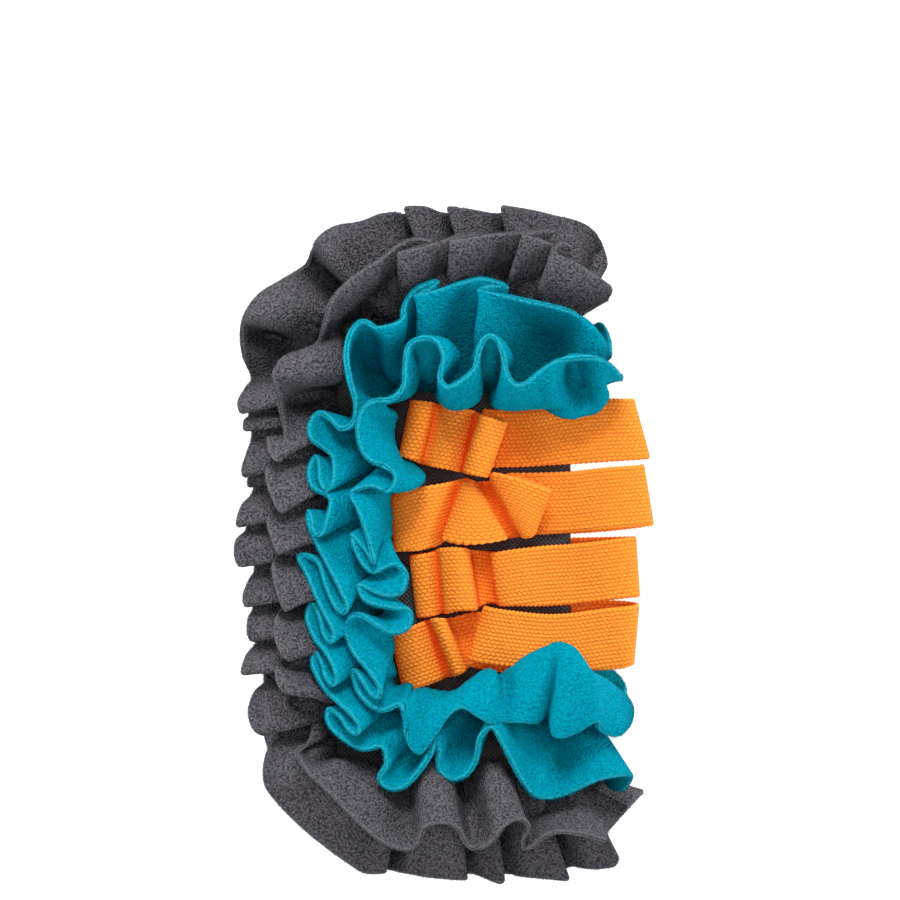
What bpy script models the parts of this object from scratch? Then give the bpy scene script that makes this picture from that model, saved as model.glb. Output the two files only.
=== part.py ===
"""Snuffle mat, folded in half with its ruffles outside, lying on its back half.

A square of mesh cloth is folded once, its fold at +X. Two fleece strips are sewn down along
their centre lines in square rings, so that each half of a strip stands as a pleated ruffle:
grey outside, teal inside. Four webbing straps cross the middle in sewn loops and run on round
the fold in a long loop. Sizes are millimetres, turned to metres when a mesh is made.

Heights h are measured from the upper face of the base's front layer.
"""

import math

import bpy
from mathutils import Vector

MM = 0.001

# The base: two layers of one sheet, folded round a small radius.
BASE_SHEET = 2.0
BASE_HALF_HEIGHT = 92.0
BASE_LEFT = -47.0
FOLD_X = 42.5
FOLD_RADIUS = 2.5
FOLD_STEPS = 6
FRONT_TOP = 29.0
LAYER_DROP = 2 * FOLD_RADIUS + BASE_SHEET
BACK_LEFT = -45.5

# The fleece strips: half width from the seam to a free edge, and the cloth's thickness.
FLEECE = 1.8
HALF_WIDTH = 40.0
SEAM_GAP = 0.3
SEAM_LIFT = SEAM_GAP + FLEECE / 2
MOST_BOW = 5.0
LEAST_SPACING = 0.006

# The straps. Behind, each lies in plain low loops.
WEBBING = 1.5
STRAP_END_X = -14.0
BACK_LOOPS = 3
BACK_LOOP_DROP = 6.5
BACK_LOOP_STEPS = 4

# Seam lines of the front half, from the fold at the top round the left to the fold below.
GREY_SEAM = {
    "top": [(FOLD_X, 83.0), (-34.0, 83.0), (-38.7, 81.0)],
    "left": [(-40.7, 76.0), (-40.7, -77.0)],
    "bottom": [(-38.7, -82.0), (-34.0, -84.0), (FOLD_X, -84.0)],
}
TEAL_SEAM = {
    "top": [(FOLD_X, 57.0), (-17.0, 57.0), (-21.0, 55.5)],
    "left": [(-22.5, 52.0), (-22.5, -51.0)],
    "bottom": [(-21.0, -55.0), (-17.0, -56.5), (14.0, -54.5), (FOLD_X, -50.0)],
}

# Free edges of the front half: one row for each turn of the edge, in order from the fold.
# Columns: x, y, h of the edge. A row with six has the place x, y, h where the cloth bends.
GREY_OUTER = {
    "top": [
        (50.0, 117.0, 7), (39.0, 120.0, 9), (30.0, 122.0, 9), (21.0, 123.3, 9),
        (19.2, 117.0, 2),
        (17.0, 120.5, 7), (1.5, 123.0, 9),
        (0.3, 116.0, 2),
        (-1.6, 121.0, 7), (-7.0, 123.0, 8), (-14.2, 123.0, 9),
        (-15.7, 115.0, 2),
        (-17.5, 121.0, 7), (-23.0, 120.5, 9), (-32.0, 117.5, 10), (-40.0, 116.0, 11),
        (-45.0, 113.0, 13), (-48.5, 108.0, 7), (-50.0, 103.0, 3),
        (-54.5, 99.5, 9), (-61.0, 95.5, 12), (-68.0, 91.0, 13),
    ],
    "left": [
        (-73.0, 84.0, 12), (-74.5, 76.0, 10), (-73.0, 68.0, 6), (-70.5, 61.0, 2),
        (-73.0, 56.5, 8), (-75.3, 52.0, 11), (-74.0, 49.0, 11), (-72.0, 46.5, 3),
        (-74.0, 42.5, 6), (-71.0, 36.5, 2),
        (-74.0, 30.0, 10), (-74.0, 25.0, 10), (-70.5, 20.5, 2),
        (-72.0, 16.0, 7), (-76.0, 11.0, 11), (-75.8, 7.5, 10), (-72.5, 6.0, 3),
        (-75.5, 2.5, 8), (-76.3, -3.5, 10), (-74.0, -7.0, 9), (-69.0, -9.5, 2),
        (-72.8, -15.0, 9), (-73.0, -19.0, 10), (-70.5, -22.5, 2),
        (-72.0, -27.5, 8), (-71.5, -32.5, 8), (-69.0, -35.3, 2),
        (-73.0, -39.0, 9), (-74.0, -45.5, 10), (-65.5, -49.0, 2),
        (-69.5, -54.0, 8), (-71.5, -61.0, 9), (-69.5, -67.5, 10), (-61.5, -71.0, 2),
        (-64.5, -75.5, 8), (-66.0, -82.5, 10),
    ],
    "bottom": [
        (-65.3, -88.0, 10), (-61.0, -94.0, 9), (-53.0, -102.0, 10), (-44.0, -109.5, 11),
        (-35.0, -116.0, 10), (-29.5, -119.3, 9), (-22.5, -119.5, 8),
        (-20.8, -112.0, 2),
        (-16.0, -119.0, 7), (-5.0, -121.0, 8), (6.3, -122.3, 9),
        (7.6, -114.0, 2),
        (9.2, -120.5, 6), (19.0, -123.3, 9), (21.5, -119.0, 8),
        (23.5, -109.0, 2),
        (25.5, -121.0, 6), (35.0, -122.0, 8), (44.5, -122.0, 9),
        (46.0, -115.0, 3),
        (48.0, -117.5, 6), (55.0, -118.5, 6),
    ],
}
GREY_INNER = {
    "top": [
        (59.7, 94.2, 11), (52.0, 99.3, 19), (46.5, 102.6, 22), (39.0, 106.5, 25),
        (42.5, 110.0, 21), (46.0, 108.0, 18.5),
        (40.0, 108.8, 20), (34.0, 110.8, 23.5), (28.3, 112.4, 27),
        (33.5, 114.0, 22), (39.0, 114.4, 18.5),
        (28.0, 113.6, 22), (17.0, 112.6, 25), (2.2, 110.2, 27),
        (8.0, 112.6, 22), (13.8, 113.2, 19),
        (6.4, 112.8, 21), (-6.8, 108.4, 24.5), (-16.8, 106.0, 25),
        (-10.0, 108.3, 22), (-4.0, 110.2, 19.5),
        (-11.0, 111.4, 20), (-17.3, 108.8, 22), (-22.8, 104.5, 23.5), (-29.7, 100.0, 26),
        (-35.0, 96.0, 28), (-41.4, 88.5, 28),
    ],
    "left": [
        (-44.3, 79.0, 24), (-46.0, 73.0, 16),
        (-53.0, 70.2, 23), (-59.0, 67.5, 31), (-62.0, 62.5, 33), (-61.5, 58.5, 31),
        (-60.0, 50.0, 24), (-57.5, 43.0, 20), (-58.5, 36.5, 24), (-61.5, 31.0, 31),
        (-63.0, 36.0, 24), (-63.0, 29.5, 26), (-64.3, 26.0, 28), (-62.5, 19.0, 30),
        (-59.0, 12.3, 29),
        (-63.0, 14.0, 23), (-63.5, 9.0, 26), (-62.5, 4.0, 28), (-59.8, -2.5, 29),
        (-61.5, 0.0, 24), (-62.0, -8.0, 24), (-60.5, -13.0, 27), (-59.5, -18.0, 29),
        (-57.5, -23.5, 27),
        (-60.5, -22.0, 23), (-61.0, -28.5, 26), (-60.0, -36.5, 28), (-56.5, -41.0, 25),
        (-60.0, -40.0, 23), (-60.8, -46.0, 27), (-60.0, -51.0, 28), (-57.5, -53.0, 27),
        (-60.0, -53.5, 22), (-58.0, -57.5, 23), (-52.0, -60.5, 15), (-48.5, -66.0, 11),
        (-49.0, -71.0, 12), (-54.3, -75.5, 20), (-53.0, -78.0, 22),
    ],
    "bottom": [
        (-49.0, -83.0, 28), (-42.5, -89.0, 29), (-36.0, -95.5, 29), (-29.5, -102.0, 29),
        (-22.5, -107.5, 28), (-16.5, -110.0, 26), (-12.0, -110.0, 25), (-9.3, -106.5, 26),
        (-7.5, -101.8, 31), (-3.0, -100.2, 33), (1.5, -100.5, 33), (5.0, -103.0, 31),
        (6.8, -107.0, 28), (10.0, -110.0, 25), (14.5, -109.0, 26), (18.0, -105.8, 29),
        (20.5, -102.0, 32), (24.0, -99.3, 33), (28.0, -99.3, 32), (30.3, -102.5, 29),
        (28.5, -106.0, 26), (28.7, -110.0, 23),
        (32.5, -108.8, 25), (36.0, -105.5, 28), (41.0, -103.8, 29), (51.7, -105.2, 28),
        (57.5, -107.0, 24),
    ],
}
TEAL_OUTER = {
    "top": [
        (57.0, 75.0, 11), (50.0, 82.6, 16), (44.0, 85.5, 18), (30.5, 88.7, 19),
        (12.3, 92.6, 21),
        (17.5, 94.5, 18.5), (22.5, 94.0, 17),
        (14.0, 96.8, 19.5), (6.5, 95.6, 18.5), (-10.8, 90.5, 21),
        (-5.5, 93.5, 18.5), (-3.0, 96.0, 18.5),
        (-11.0, 93.0, 17.5), (-15.0, 87.0, 19), (-16.0, 81.5, 23), (-24.5, 79.0, 26),
        (-30.0, 81.5, 26), (-34.0, 78.0, 28), (-36.0, 69.0, 32),
    ],
    "left": [
        (-34.5, 59.5, 33), (-32.3, 51.0, 32), (-33.5, 44.5, 31), (-37.5, 42.5, 30),
        (-42.0, 46.5, 26), (-46.0, 48.3, 25), (-49.0, 44.5, 26), (-48.5, 39.0, 28),
        (-41.0, 33.0, 27),
        (-40.2, 28.5, 29), (-43.0, 20.8, 30),
        (-45.0, 28.0, 26), (-46.5, 32.5, 24.5), (-49.2, 28.5, 25), (-48.3, 21.5, 27),
        (-41.5, 17.3, 29),
        (-43.0, 9.5, 31), (-46.2, 4.3, 31),
        (-47.6, 8.5, 27), (-49.6, 12.5, 25), (-49.5, 8.0, 26), (-46.5, 1.0, 28),
        (-42.0, -8.5, 30), (-36.3, -24.0, 32),
        (-41.5, -15.0, 28), (-46.5, -5.5, 26), (-53.0, -3.8, 25.5), (-49.8, -11.0, 26),
        (-45.0, -22.0, 28),
        (-42.3, -31.0, 31), (-41.5, -34.5, 31),
        (-45.0, -25.5, 26), (-48.5, -21.3, 24), (-50.0, -26.0, 25), (-47.0, -34.0, 27),
        (-43.5, -38.0, 29), (-41.5, -45.0, 31), (-41.0, -50.0, 31),
        (-44.3, -43.0, 26), (-47.8, -38.3, 24), (-48.0, -43.5, 25), (-43.5, -52.0, 27),
        (-38.5, -56.8, 29),
    ],
    "bottom": [
        (-35.5, -62.0, 31), (-32.5, -68.0, 31),
        (-37.0, -62.5, 27), (-42.3, -59.5, 24.5), (-42.5, -64.0, 25), (-37.0, -70.0, 26),
        (-29.5, -74.0, 26), (-22.8, -72.7, 27), (-21.3, -79.5, 26), (-24.0, -84.5, 24),
        (-20.5, -88.3, 23), (-15.0, -87.5, 24), (-10.0, -82.5, 25),
        (-5.0, -74.5, 28), (-3.8, -69.5, 29), (-2.3, -74.0, 27), (-2.5, -80.5, 25),
        (2.0, -85.0, 24), (7.5, -83.3, 24), (11.0, -78.0, 26),
        (13.0, -68.8, 31), (17.0, -65.5, 32), (20.5, -71.0, 31), (27.0, -83.6, 26),
        (32.0, -90.5, 23), (37.0, -91.6, 22), (43.0, -90.5, 21), (55.0, -85.0, 21),
        (61.0, -83.8, 18),
    ],
}
TEAL_INNER = {
    "top": [
        (63.5, 61.5, 17), (59.0, 66.0, 26), (54.0, 68.0, 30), (46.0, 68.0, 33),
        (39.0, 66.0, 35), (33.0, 61.8, 35), (28.5, 58.3, 35), (25.0, 58.3, 35),
        (22.0, 63.0, 35), (20.5, 71.0, 34), (17.5, 75.8, 33), (14.5, 75.3, 33),
        (12.2, 71.0, 34), (10.5, 64.0, 35), (4.0, 58.5, 35), (0.5, 57.3, 35),
        (-2.0, 60.5, 35), (-0.5, 68.5, 34), (-3.0, 74.0, 33), (-7.5, 75.3, 33),
        (-13.0, 73.0, 32), (-14.5, 65.0, 33), (-15.0, 58.0, 34),
    ],
    "left": [
        (-19.0, 53.3, 34), (-27.0, 52.0, 34), (-31.0, 47.0, 33), (-31.0, 37.5, 33),
        (-27.5, 31.5, 33), (-21.0, 28.5, 33, -14.5, 26.5, 21),
        (-17.8, 25.0, 32, -8.0, 25.2, 15), (-20.5, 20.0, 32, -13.0, 22.8, 20),
        (-26.5, 22.0, 32), (-34.0, 19.0, 29),
        (-31.5, 13.5, 32), (-28.0, 3.0, 34), (-26.0, -6.0, 34),
        (-29.5, -0.5, 31), (-33.8, 4.0, 28), (-31.5, -3.5, 30), (-26.5, -9.3, 31),
        (-19.0, -6.5, 32), (-14.5, -10.0, 32), (-16.0, -16.5, 32), (-21.5, -17.8, 32),
        (-31.5, -14.3, 29),
        (-29.0, -19.5, 31), (-20.0, -22.2, 32), (-13.5, -23.5, 32), (-13.0, -28.5, 32),
        (-19.0, -31.5, 32), (-32.0, -25.0, 30),
        (-36.2, -28.5, 28), (-34.0, -37.0, 29), (-28.5, -45.5, 32), (-25.0, -53.0, 34),
        (-28.5, -49.0, 31), (-33.5, -45.3, 28), (-32.5, -51.0, 28),
    ],
    "bottom": [
        (-27.5, -57.5, 30), (-22.5, -59.7, 30), (-16.5, -57.5, 31),
        (-14.5, -63.0, 30, -15.0, -56.0, 30), (-13.8, -71.0, 28, -12.0, -55.3, 30),
        (-9.5, -75.0, 26, -9.0, -55.6, 29), (-3.5, -68.0, 29, -4.0, -56.0, 29),
        (1.5, -60.5, 31, 1.0, -55.3, 29), (6.0, -58.0, 32, 6.0, -52.5, 28),
        (11.5, -61.0, 32, 11.5, -48.5, 28), (16.5, -63.7, 31, 17.0, -46.0, 29),
        (19.8, -63.3, 28, 20.0, -49.3, 23), (28.0, -63.3, 28, 27.5, -44.7, 27),
        (33.5, -63.5, 29, 35.0, -39.3, 29), (37.5, -58.0, 25, 39.0, -37.3, 28),
        (40.0, -68.7, 32, 42.0, -36.8, 30), (47.0, -67.3, 32, 46.5, -38.0, 30),
        (54.5, -63.0, 30, 51.0, -44.5, 28),
        (56.0, -66.5, 22, 55.0, -48.5, 22),
    ],
}

# Round the fold: from the front half to the back half below, and back up above.
GREY_FOLD_BELOW = {
    "outer": [(62.0, -117.0, 2), (62.3, -114.0, -5), (56.0, -112.0, -14)],
    "inner": [(58.3, -105.0, 13), (63.0, -100.0, 3), (72.0, -91.0, -8), (64.0, -98.0, -19),
              (54.0, -110.0, -25)],
}
GREY_FOLD_ABOVE = {
    "outer": [(52.0, 110.0, -14), (57.5, 101.0, -9), (58.8, 103.0, -5), (56.0, 112.0, 1)],
    "inner": [(50.0, 105.0, -26), (55.0, 93.0, -18), (58.0, 90.0, -8), (59.5, 91.0, 2)],
}
TEAL_FOLD_BELOW = {
    "outer": [(67.7, -84.3, 11), (64.5, -89.5, 6), (60.0, -88.0, 1), (58.0, -80.0, -12),
              (52.0, -77.0, -24)],
    "inner": [(62.5, -69.0, 15, 60.5, -51.5, 14), (67.5, -64.5, 7, 64.5, -55.0, 3),
              (66.3, -56.0, -1, 60.0, -53.5, -6), (64.0, -50.0, -14), (52.0, -40.0, -26)],
}
TEAL_FOLD_ABOVE = {
    "outer": [(52.0, 79.0, -24), (57.5, 80.5, -12), (60.2, 75.0, -7), (60.0, 69.0, -1)],
    "inner": [(50.0, 45.0, -26), (57.0, 58.0, -16), (61.0, 60.5, -6), (63.2, 61.0, 6)],
}

# The back half, pressed flat on the surface. Columns: reach of the bend from the seam, its
# h, reach of the free edge, its h; a pleat draws in every second place, and lifts it where
# the half is clear of the surface. At a corner both reaches are shorter by CORNER_SHARE. The
# grey bend is sunk a little, because a bend is made solid slightly proud of the surface.
GROUND = -FRONT_TOP + FLEECE / 2
BEND_SINK = 0.09
BACK_HALVES = {
    "grey": {"outer": (16.0, -10.5, 26.0, -16.0),
             "inner": (16.0, GROUND - BEND_SINK, 26.0, GROUND)},
    "teal": {"outer": (13.0, GROUND, 24.0, GROUND), "inner": (-3.0, GROUND, -23.0, GROUND)},
}
PLEAT_DRAW = 2.5
PLEAT_LIFT = 2.2
PLEAT_PITCH = 9.0
BACK_CORNER = 7.0
BACK_CORNER_TURNS = (-22, 0, 22)
CORNER_SHARE = 0.82

# Straps, top to bottom. Columns: x, y, h of the upper selvage, then of the lower selvage.
# At h 1.2 a strap is sewn to the front of the base, at h -8.3 to its back.
STRAPS = [
    [
        (-10.0, 52.4, 1.2, -14.5, 32.0, 1.2),
        (-12.2, 52.8, 5.0, -16.4, 32.7, 5.0), (-10.8, 52.7, 9.2, -15.4, 32.3, 9.2),
        (-6.5, 52.2, 9.5, -11.5, 30.9, 9.5), (-4.2, 51.8, 5.5, -9.4, 30.1, 5.5),
        (-4.4, 51.7, 1.2, -9.6, 30.0, 1.2),
        (-2.0, 51.3, 5.5, -7.0, 29.3, 5.5), (0.5, 51.0, 9.5, -4.5, 28.7, 9.5),
        (5.5, 50.0, 11.0, 0.0, 27.9, 11.0), (9.3, 49.2, 8.0, 3.8, 27.2, 8.0),
        (10.8, 48.7, 1.2, 5.2, 26.9, 1.2),
        (13.2, 47.6, 7.0, 7.4, 26.5, 7.0), (12.9, 47.4, 12.5, 7.0, 26.5, 12.5),
        (15.0, 46.7, 15.5, 8.8, 26.0, 15.5), (19.5, 45.4, 15.5, 12.8, 25.2, 15.5),
        (22.0, 44.7, 12.5, 15.0, 25.0, 12.5), (20.3, 47.5, 6.0, 13.8, 26.0, 6.0),
        (20.5, 49.5, 1.2, 14.5, 27.2, 1.2),
        (25.5, 48.6, 3.5, 21.0, 28.5, 3.5), (33.0, 49.5, 4.2, 30.0, 28.8, 4.2),
        (45.0, 52.0, 1.8, 45.5, 29.8, 1.8), (57.0, 53.3, 2.2, 60.0, 30.9, 2.2),
        (66.0, 53.4, 1.2, 71.5, 31.7, 1.2), (68.4, 53.4, -1.8, 74.2, 32.0, -1.8),
        (68.4, 53.0, -6.8, 74.2, 31.6, -6.8), (66.0, 52.8, -9.6, 71.5, 31.3, -9.6),
        (57.0, 52.6, -10.2, 60.0, 30.6, -10.2), (45.0, 51.6, -8.3, 45.0, 29.6, -8.3),
    ],
    [
        (-15.5, 19.0, 1.2, -14.5, -2.0, 1.2),
        (-19.4, 18.2, 4.5, -18.4, -2.2, 4.5), (-17.5, 18.8, 8.6, -16.6, -2.2, 8.6),
        (-10.0, 20.8, 10.5, -9.5, -1.9, 10.5), (-3.0, 22.0, 10.0, -6.0, -1.0, 9.5),
        (2.5, 23.0, 6.0, -3.5, -0.3, 5.0),
        (5.0, 23.6, 1.2, -1.5, 0.8, 1.2),
        (7.2, 24.0, 4.5, -0.8, 3.0, 7.5), (7.6, 24.2, 7.5, -0.5, 1.8, 12.0),
        (8.5, 24.0, 9.0, 5.0, 0.4, 14.5), (9.6, 23.5, 9.0, 13.5, 0.6, 14.5),
        (10.7, 22.8, 7.5, 21.5, 2.0, 12.0), (11.2, 22.6, 4.5, 22.5, 2.6, 6.5),
        (13.5, 23.0, 1.2, 24.5, 2.6, 1.2),
        (16.3, 23.2, 5.0, 27.5, 3.2, 4.5), (17.2, 26.2, 11.0, 28.2, 3.0, 9.5),
        (24.0, 25.0, 15.0, 30.0, 2.9, 11.5), (32.0, 22.4, 15.5, 32.0, 3.4, 11.5),
        (38.0, 20.2, 13.0, 34.0, 4.8, 9.0), (34.0, 22.5, 8.0, 32.5, 5.0, 5.5),
        (25.5, 25.5, 3.8, 30.0, 4.0, 3.2),
        (23.0, 26.0, 1.2, 29.0, 3.8, 1.2),
        (34.0, 26.2, 1.2, 36.0, 3.9, 1.2), (45.0, 26.6, 1.8, 45.5, 4.5, 1.8),
        (58.0, 28.0, 2.2, 60.0, 5.8, 2.2), (69.5, 28.9, 1.2, 73.0, 7.1, 1.2),
        (72.0, 29.1, -1.8, 75.6, 7.3, -1.8), (72.0, 29.0, -6.8, 75.6, 7.0, -6.8),
        (69.5, 28.4, -9.6, 73.0, 6.5, -9.6), (58.0, 27.4, -10.2, 60.0, 5.0, -10.2),
        (45.0, 26.0, -8.3, 45.0, 4.0, -8.3),
    ],
    [
        (-9.0, -3.2, 1.2, -6.5, -26.0, 1.2),
        (-12.6, -3.9, 4.5, -9.8, -26.5, 4.5), (-11.0, -3.8, 8.2, -8.2, -26.5, 8.2),
        (-7.0, -3.2, 9.0, -4.5, -25.8, 9.0), (-4.6, -2.7, 6.0, -2.4, -25.1, 6.0),
        (-4.4, -2.6, 1.2, -2.2, -25.0, 1.2),
        (-2.2, -1.6, 7.0, 0.0, -24.9, 7.0), (-1.2, -1.3, 11.3, 1.0, -24.8, 11.3),
        (3.0, -1.0, 13.5, 5.5, -23.9, 13.5), (6.4, -1.2, 12.0, 10.3, -23.9, 12.0),
        (8.0, -1.8, 6.5, 11.5, -23.2, 6.5), (9.3, -2.2, 1.2, 12.6, -22.6, 1.2),
        (13.0, -2.4, 1.2, 15.8, -21.4, 1.2), (16.3, -2.8, 4.5, 19.0, -21.6, 4.5),
        (17.5, -2.9, 9.0, 20.5, -22.2, 9.0), (26.0, -1.7, 9.5, 28.0, -22.2, 9.5),
        (36.0, -0.6, 6.5, 37.0, -22.3, 6.5), (46.0, 0.0, 3.0, 47.0, -21.7, 3.0),
        (58.0, 1.3, 2.4, 59.0, -20.3, 2.4), (66.5, 2.4, 1.2, 68.0, -19.3, 1.2),
        (69.0, 2.6, -1.8, 70.4, -19.1, -1.8), (69.0, 2.6, -6.8, 70.4, -18.9, -6.8),
        (66.5, 2.6, -9.6, 68.0, -18.8, -9.6), (58.0, 2.4, -10.2, 59.0, -19.2, -10.2),
        (45.0, 2.2, -8.3, 45.0, -19.8, -8.3),
    ],
    [
        (-16.0, -31.3, 1.2, -11.0, -52.8, 1.2),
        (-19.8, -32.4, 4.5, -14.8, -53.6, 4.5), (-18.0, -31.8, 8.6, -13.0, -53.3, 8.6),
        (-12.0, -29.7, 10.0, -6.5, -51.2, 10.0), (-8.4, -28.4, 7.5, -2.2, -49.6, 7.5),
        (-7.4, -28.0, 1.2, 0.2, -48.6, 1.2),
        (-5.2, -27.4, 6.5, 3.0, -47.9, 6.5), (-4.8, -27.2, 11.5, 3.4, -47.8, 11.5),
        (-3.0, -26.8, 13.5, 5.2, -47.2, 13.5), (-1.0, -27.1, 11.5, 7.0, -46.2, 11.5),
        (-0.5, -27.4, 6.0, 7.4, -45.7, 6.0),
        (1.5, -27.2, 1.2, 9.0, -44.7, 1.2), (11.0, -24.3, 1.2, 12.0, -43.6, 1.2),
        (14.0, -23.6, 4.0, 10.6, -42.6, 4.5), (14.6, -22.6, 8.5, 8.8, -42.2, 8.5),
        (17.0, -23.2, 11.0, 12.0, -43.0, 11.0), (26.0, -24.5, 10.0, 23.0, -44.4, 10.0),
        (37.0, -25.6, 6.5, 36.0, -45.3, 6.5), (46.0, -25.3, 3.2, 46.0, -45.8, 3.2),
        (58.0, -23.7, 2.4, 57.5, -45.9, 2.4), (67.5, -22.7, 1.2, 65.5, -45.2, 1.2),
        (70.2, -22.3, -1.8, 68.3, -44.2, -1.8), (70.2, -21.8, -6.8, 68.3, -44.0, -6.8),
        (67.5, -21.3, -9.6, 65.5, -44.0, -9.6), (58.0, -20.9, -10.2, 57.5, -44.0, -10.2),
        (45.0, -22.0, -8.3, 45.0, -44.6, -8.3),
    ],
]


def lengths(points):
    """How far along the line through these points each one lies, from 0 to 1."""
    run = [0.0]
    for a, b in zip(points, points[1:]):
        run.append(run[-1] + (b - a).length)
    return [place / run[-1] for place in run]


def at(points, places, t):
    """The point at t on the straight runs between the points."""
    for i in range(len(places) - 2):
        if t <= places[i + 1]:
            break
    else:
        i = len(places) - 2
    share = (t - places[i]) / (places[i + 1] - places[i])
    return points[i].lerp(points[i + 1], share)


def half_of(rows, seam, seam_places, bow):
    """Edge and bend points of one half of a strip, and where along the seam each row starts."""
    edge = [Vector(row[:3]) for row in rows]
    places = lengths(edge)
    bend = []
    for row, end, t in zip(rows, edge, places):
        if len(row) == 6:
            bend.append(Vector(row[3:]))
            continue
        start = at(seam, seam_places, t)
        chord = end - start
        flat = Vector((chord.x, chord.y, 0)).length
        spare = max(0.0, HALF_WIDTH**2 - chord.length**2) ** 0.5
        rise = min(bow * spare, MOST_BOW)
        out = Vector((chord.x, chord.y, 0)) / max(flat, 1e-6)
        normal = (Vector((0, 0, 1)) * flat - out * chord.z) / chord.length
        bend.append(start.lerp(end, 0.5) + normal * rise)
    return edge, bend, places


def sections_of(seam, outer_rows, inner_rows, bows):
    """Cross-sections of a strip along one side: outer edge, bend, seam, bend, inner edge."""
    seam_places = lengths(seam)
    outer = half_of(outer_rows, seam, seam_places, bows[0])
    inner = half_of(inner_rows, seam, seam_places, bows[1])
    stations = sorted(outer[2] + inner[2] + seam_places)
    kept = [stations[0]]
    for t in stations[1:]:
        if t - kept[-1] > LEAST_SPACING:
            kept.append(t)
    kept[-1] = 1.0
    sections = []
    for t in kept:
        sections.append([
            at(outer[0], outer[2], t),
            at(outer[1], outer[2], t),
            at(seam, seam_places, t),
            at(inner[1], inner[2], t),
            at(inner[0], inner[2], t),
        ])
    return sections


def seam_line(points, h):
    return [Vector((x, y, h)) for x, y in points]


def seam_round_fold(y, upward):
    """The seam where it passes round the base's fold, from the front down or back up."""
    radius = FOLD_RADIUS + BASE_SHEET / 2 + SEAM_LIFT
    centre = -LAYER_DROP / 2
    line = []
    for step in range(FOLD_STEPS + 1):
        angle = math.radians(90 - 180 * step / FOLD_STEPS)
        line.append(Vector((FOLD_X + radius * math.cos(angle), y, centre + radius * math.sin(angle))))
    return line[::-1] if upward else line


def back_path(seam):
    """The hidden half's seam as (x, y, direction outward, share of the reach), from the fold
    below round to above."""
    top, bottom, left = seam["top"][0][1], seam["bottom"][-1][1], seam["left"][0][0]
    turn_x, turn_low, turn_high = left + BACK_CORNER, bottom + BACK_CORNER, top - BACK_CORNER
    steps = round((FOLD_X - turn_x) / PLEAT_PITCH)
    rises = round((turn_high - turn_low) / PLEAT_PITCH)

    def corner(centre_y, middle):
        places = []
        for turn in BACK_CORNER_TURNS:
            angle = math.radians(middle - turn)
            places.append((turn_x + BACK_CORNER * math.cos(angle),
                           centre_y + BACK_CORNER * math.sin(angle), middle - turn,
                           CORNER_SHARE))
        return places

    path = [(FOLD_X + (turn_x - FOLD_X) * i / steps, bottom, 270, 1)
            for i in range(1, steps + 1)]
    path += corner(turn_low, 225)
    path += [(left, turn_low + (turn_high - turn_low) * i / rises, 180, 1)
             for i in range(rises + 1)]
    path += corner(turn_high, 135)
    path += [(turn_x + (FOLD_X - turn_x) * i / steps, top, 90, 1) for i in range(steps)]
    return path


def back_sections(seam, halves):
    seam_h = -LAYER_DROP - SEAM_LIFT
    sections = []
    for i, (x, y, angle, share) in enumerate(back_path(seam)):
        out = Vector((math.cos(math.radians(angle)), math.sin(math.radians(angle)), 0))
        start = Vector((x, y, seam_h))
        drawn = i % 2
        row = []
        for name in ("outer", "inner"):
            bend_reach, bend_h, edge_reach, edge_h = halves[name]
            sign = 1 if edge_reach > 0 else -1
            lift = drawn * PLEAT_LIFT if edge_h > GROUND else 0
            flat = Vector((x, y, 0))
            bend = flat + out * (bend_reach - sign * drawn) * share
            bend.z = bend_h + lift / 2
            edge = flat + out * (edge_reach - sign * drawn * PLEAT_DRAW) * share
            edge.z = edge_h + lift
            row.append((edge, bend))
        (outer_edge, outer_bend), (inner_edge, inner_bend) = row
        sections.append([outer_edge, outer_bend, start, inner_bend, inner_edge])
    return sections


def sheet_object(name, rows, thickness, closed, colour, roughness):
    """A sheet through rows of points, made solid about its middle."""
    width = len(rows[0])
    points = [(p + Vector((0, 0, FRONT_TOP))) * MM for row in rows for p in row]
    faces = []
    for i in range(len(rows) if closed else len(rows) - 1):
        j = (i + 1) % len(rows)
        for k in range(width - 1):
            faces.append((i * width + k, i * width + k + 1, j * width + k + 1, j * width + k))
    mesh = bpy.data.meshes.new(name)
    mesh.from_pydata(points, [], faces)
    mesh.update()
    part = bpy.data.objects.new(name, mesh)
    solid = part.modifiers.new("thickness", "SOLIDIFY")
    solid.thickness = thickness * MM
    solid.offset = 0
    mesh.shade_smooth()
    material = bpy.data.materials.new(name + "_cloth")
    material.use_nodes = True
    shader = material.node_tree.nodes["Principled BSDF"]
    shader.inputs["Base Color"].default_value = colour
    shader.inputs["Roughness"].default_value = roughness
    shader.inputs["Metallic"].default_value = 0
    mesh.materials.append(material)
    return part


def make_base():
    front = -BASE_SHEET / 2
    back = front - 2 * FOLD_RADIUS
    line = [(BASE_LEFT, front), (FOLD_X, front)]
    for step in range(1, FOLD_STEPS):
        angle = math.radians(90 - 180 * step / FOLD_STEPS)
        line.append((FOLD_X + FOLD_RADIUS * math.cos(angle),
                     front - FOLD_RADIUS + FOLD_RADIUS * math.sin(angle)))
    line += [(FOLD_X, back), (BACK_LEFT, back)]
    rows = [[Vector((x, y, h)) for y in (BASE_HALF_HEIGHT, -BASE_HALF_HEIGHT)] for x, h in line]
    return sheet_object("base", rows, BASE_SHEET, False, (0.022, 0.018, 0.018, 1), 0.9)


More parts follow.
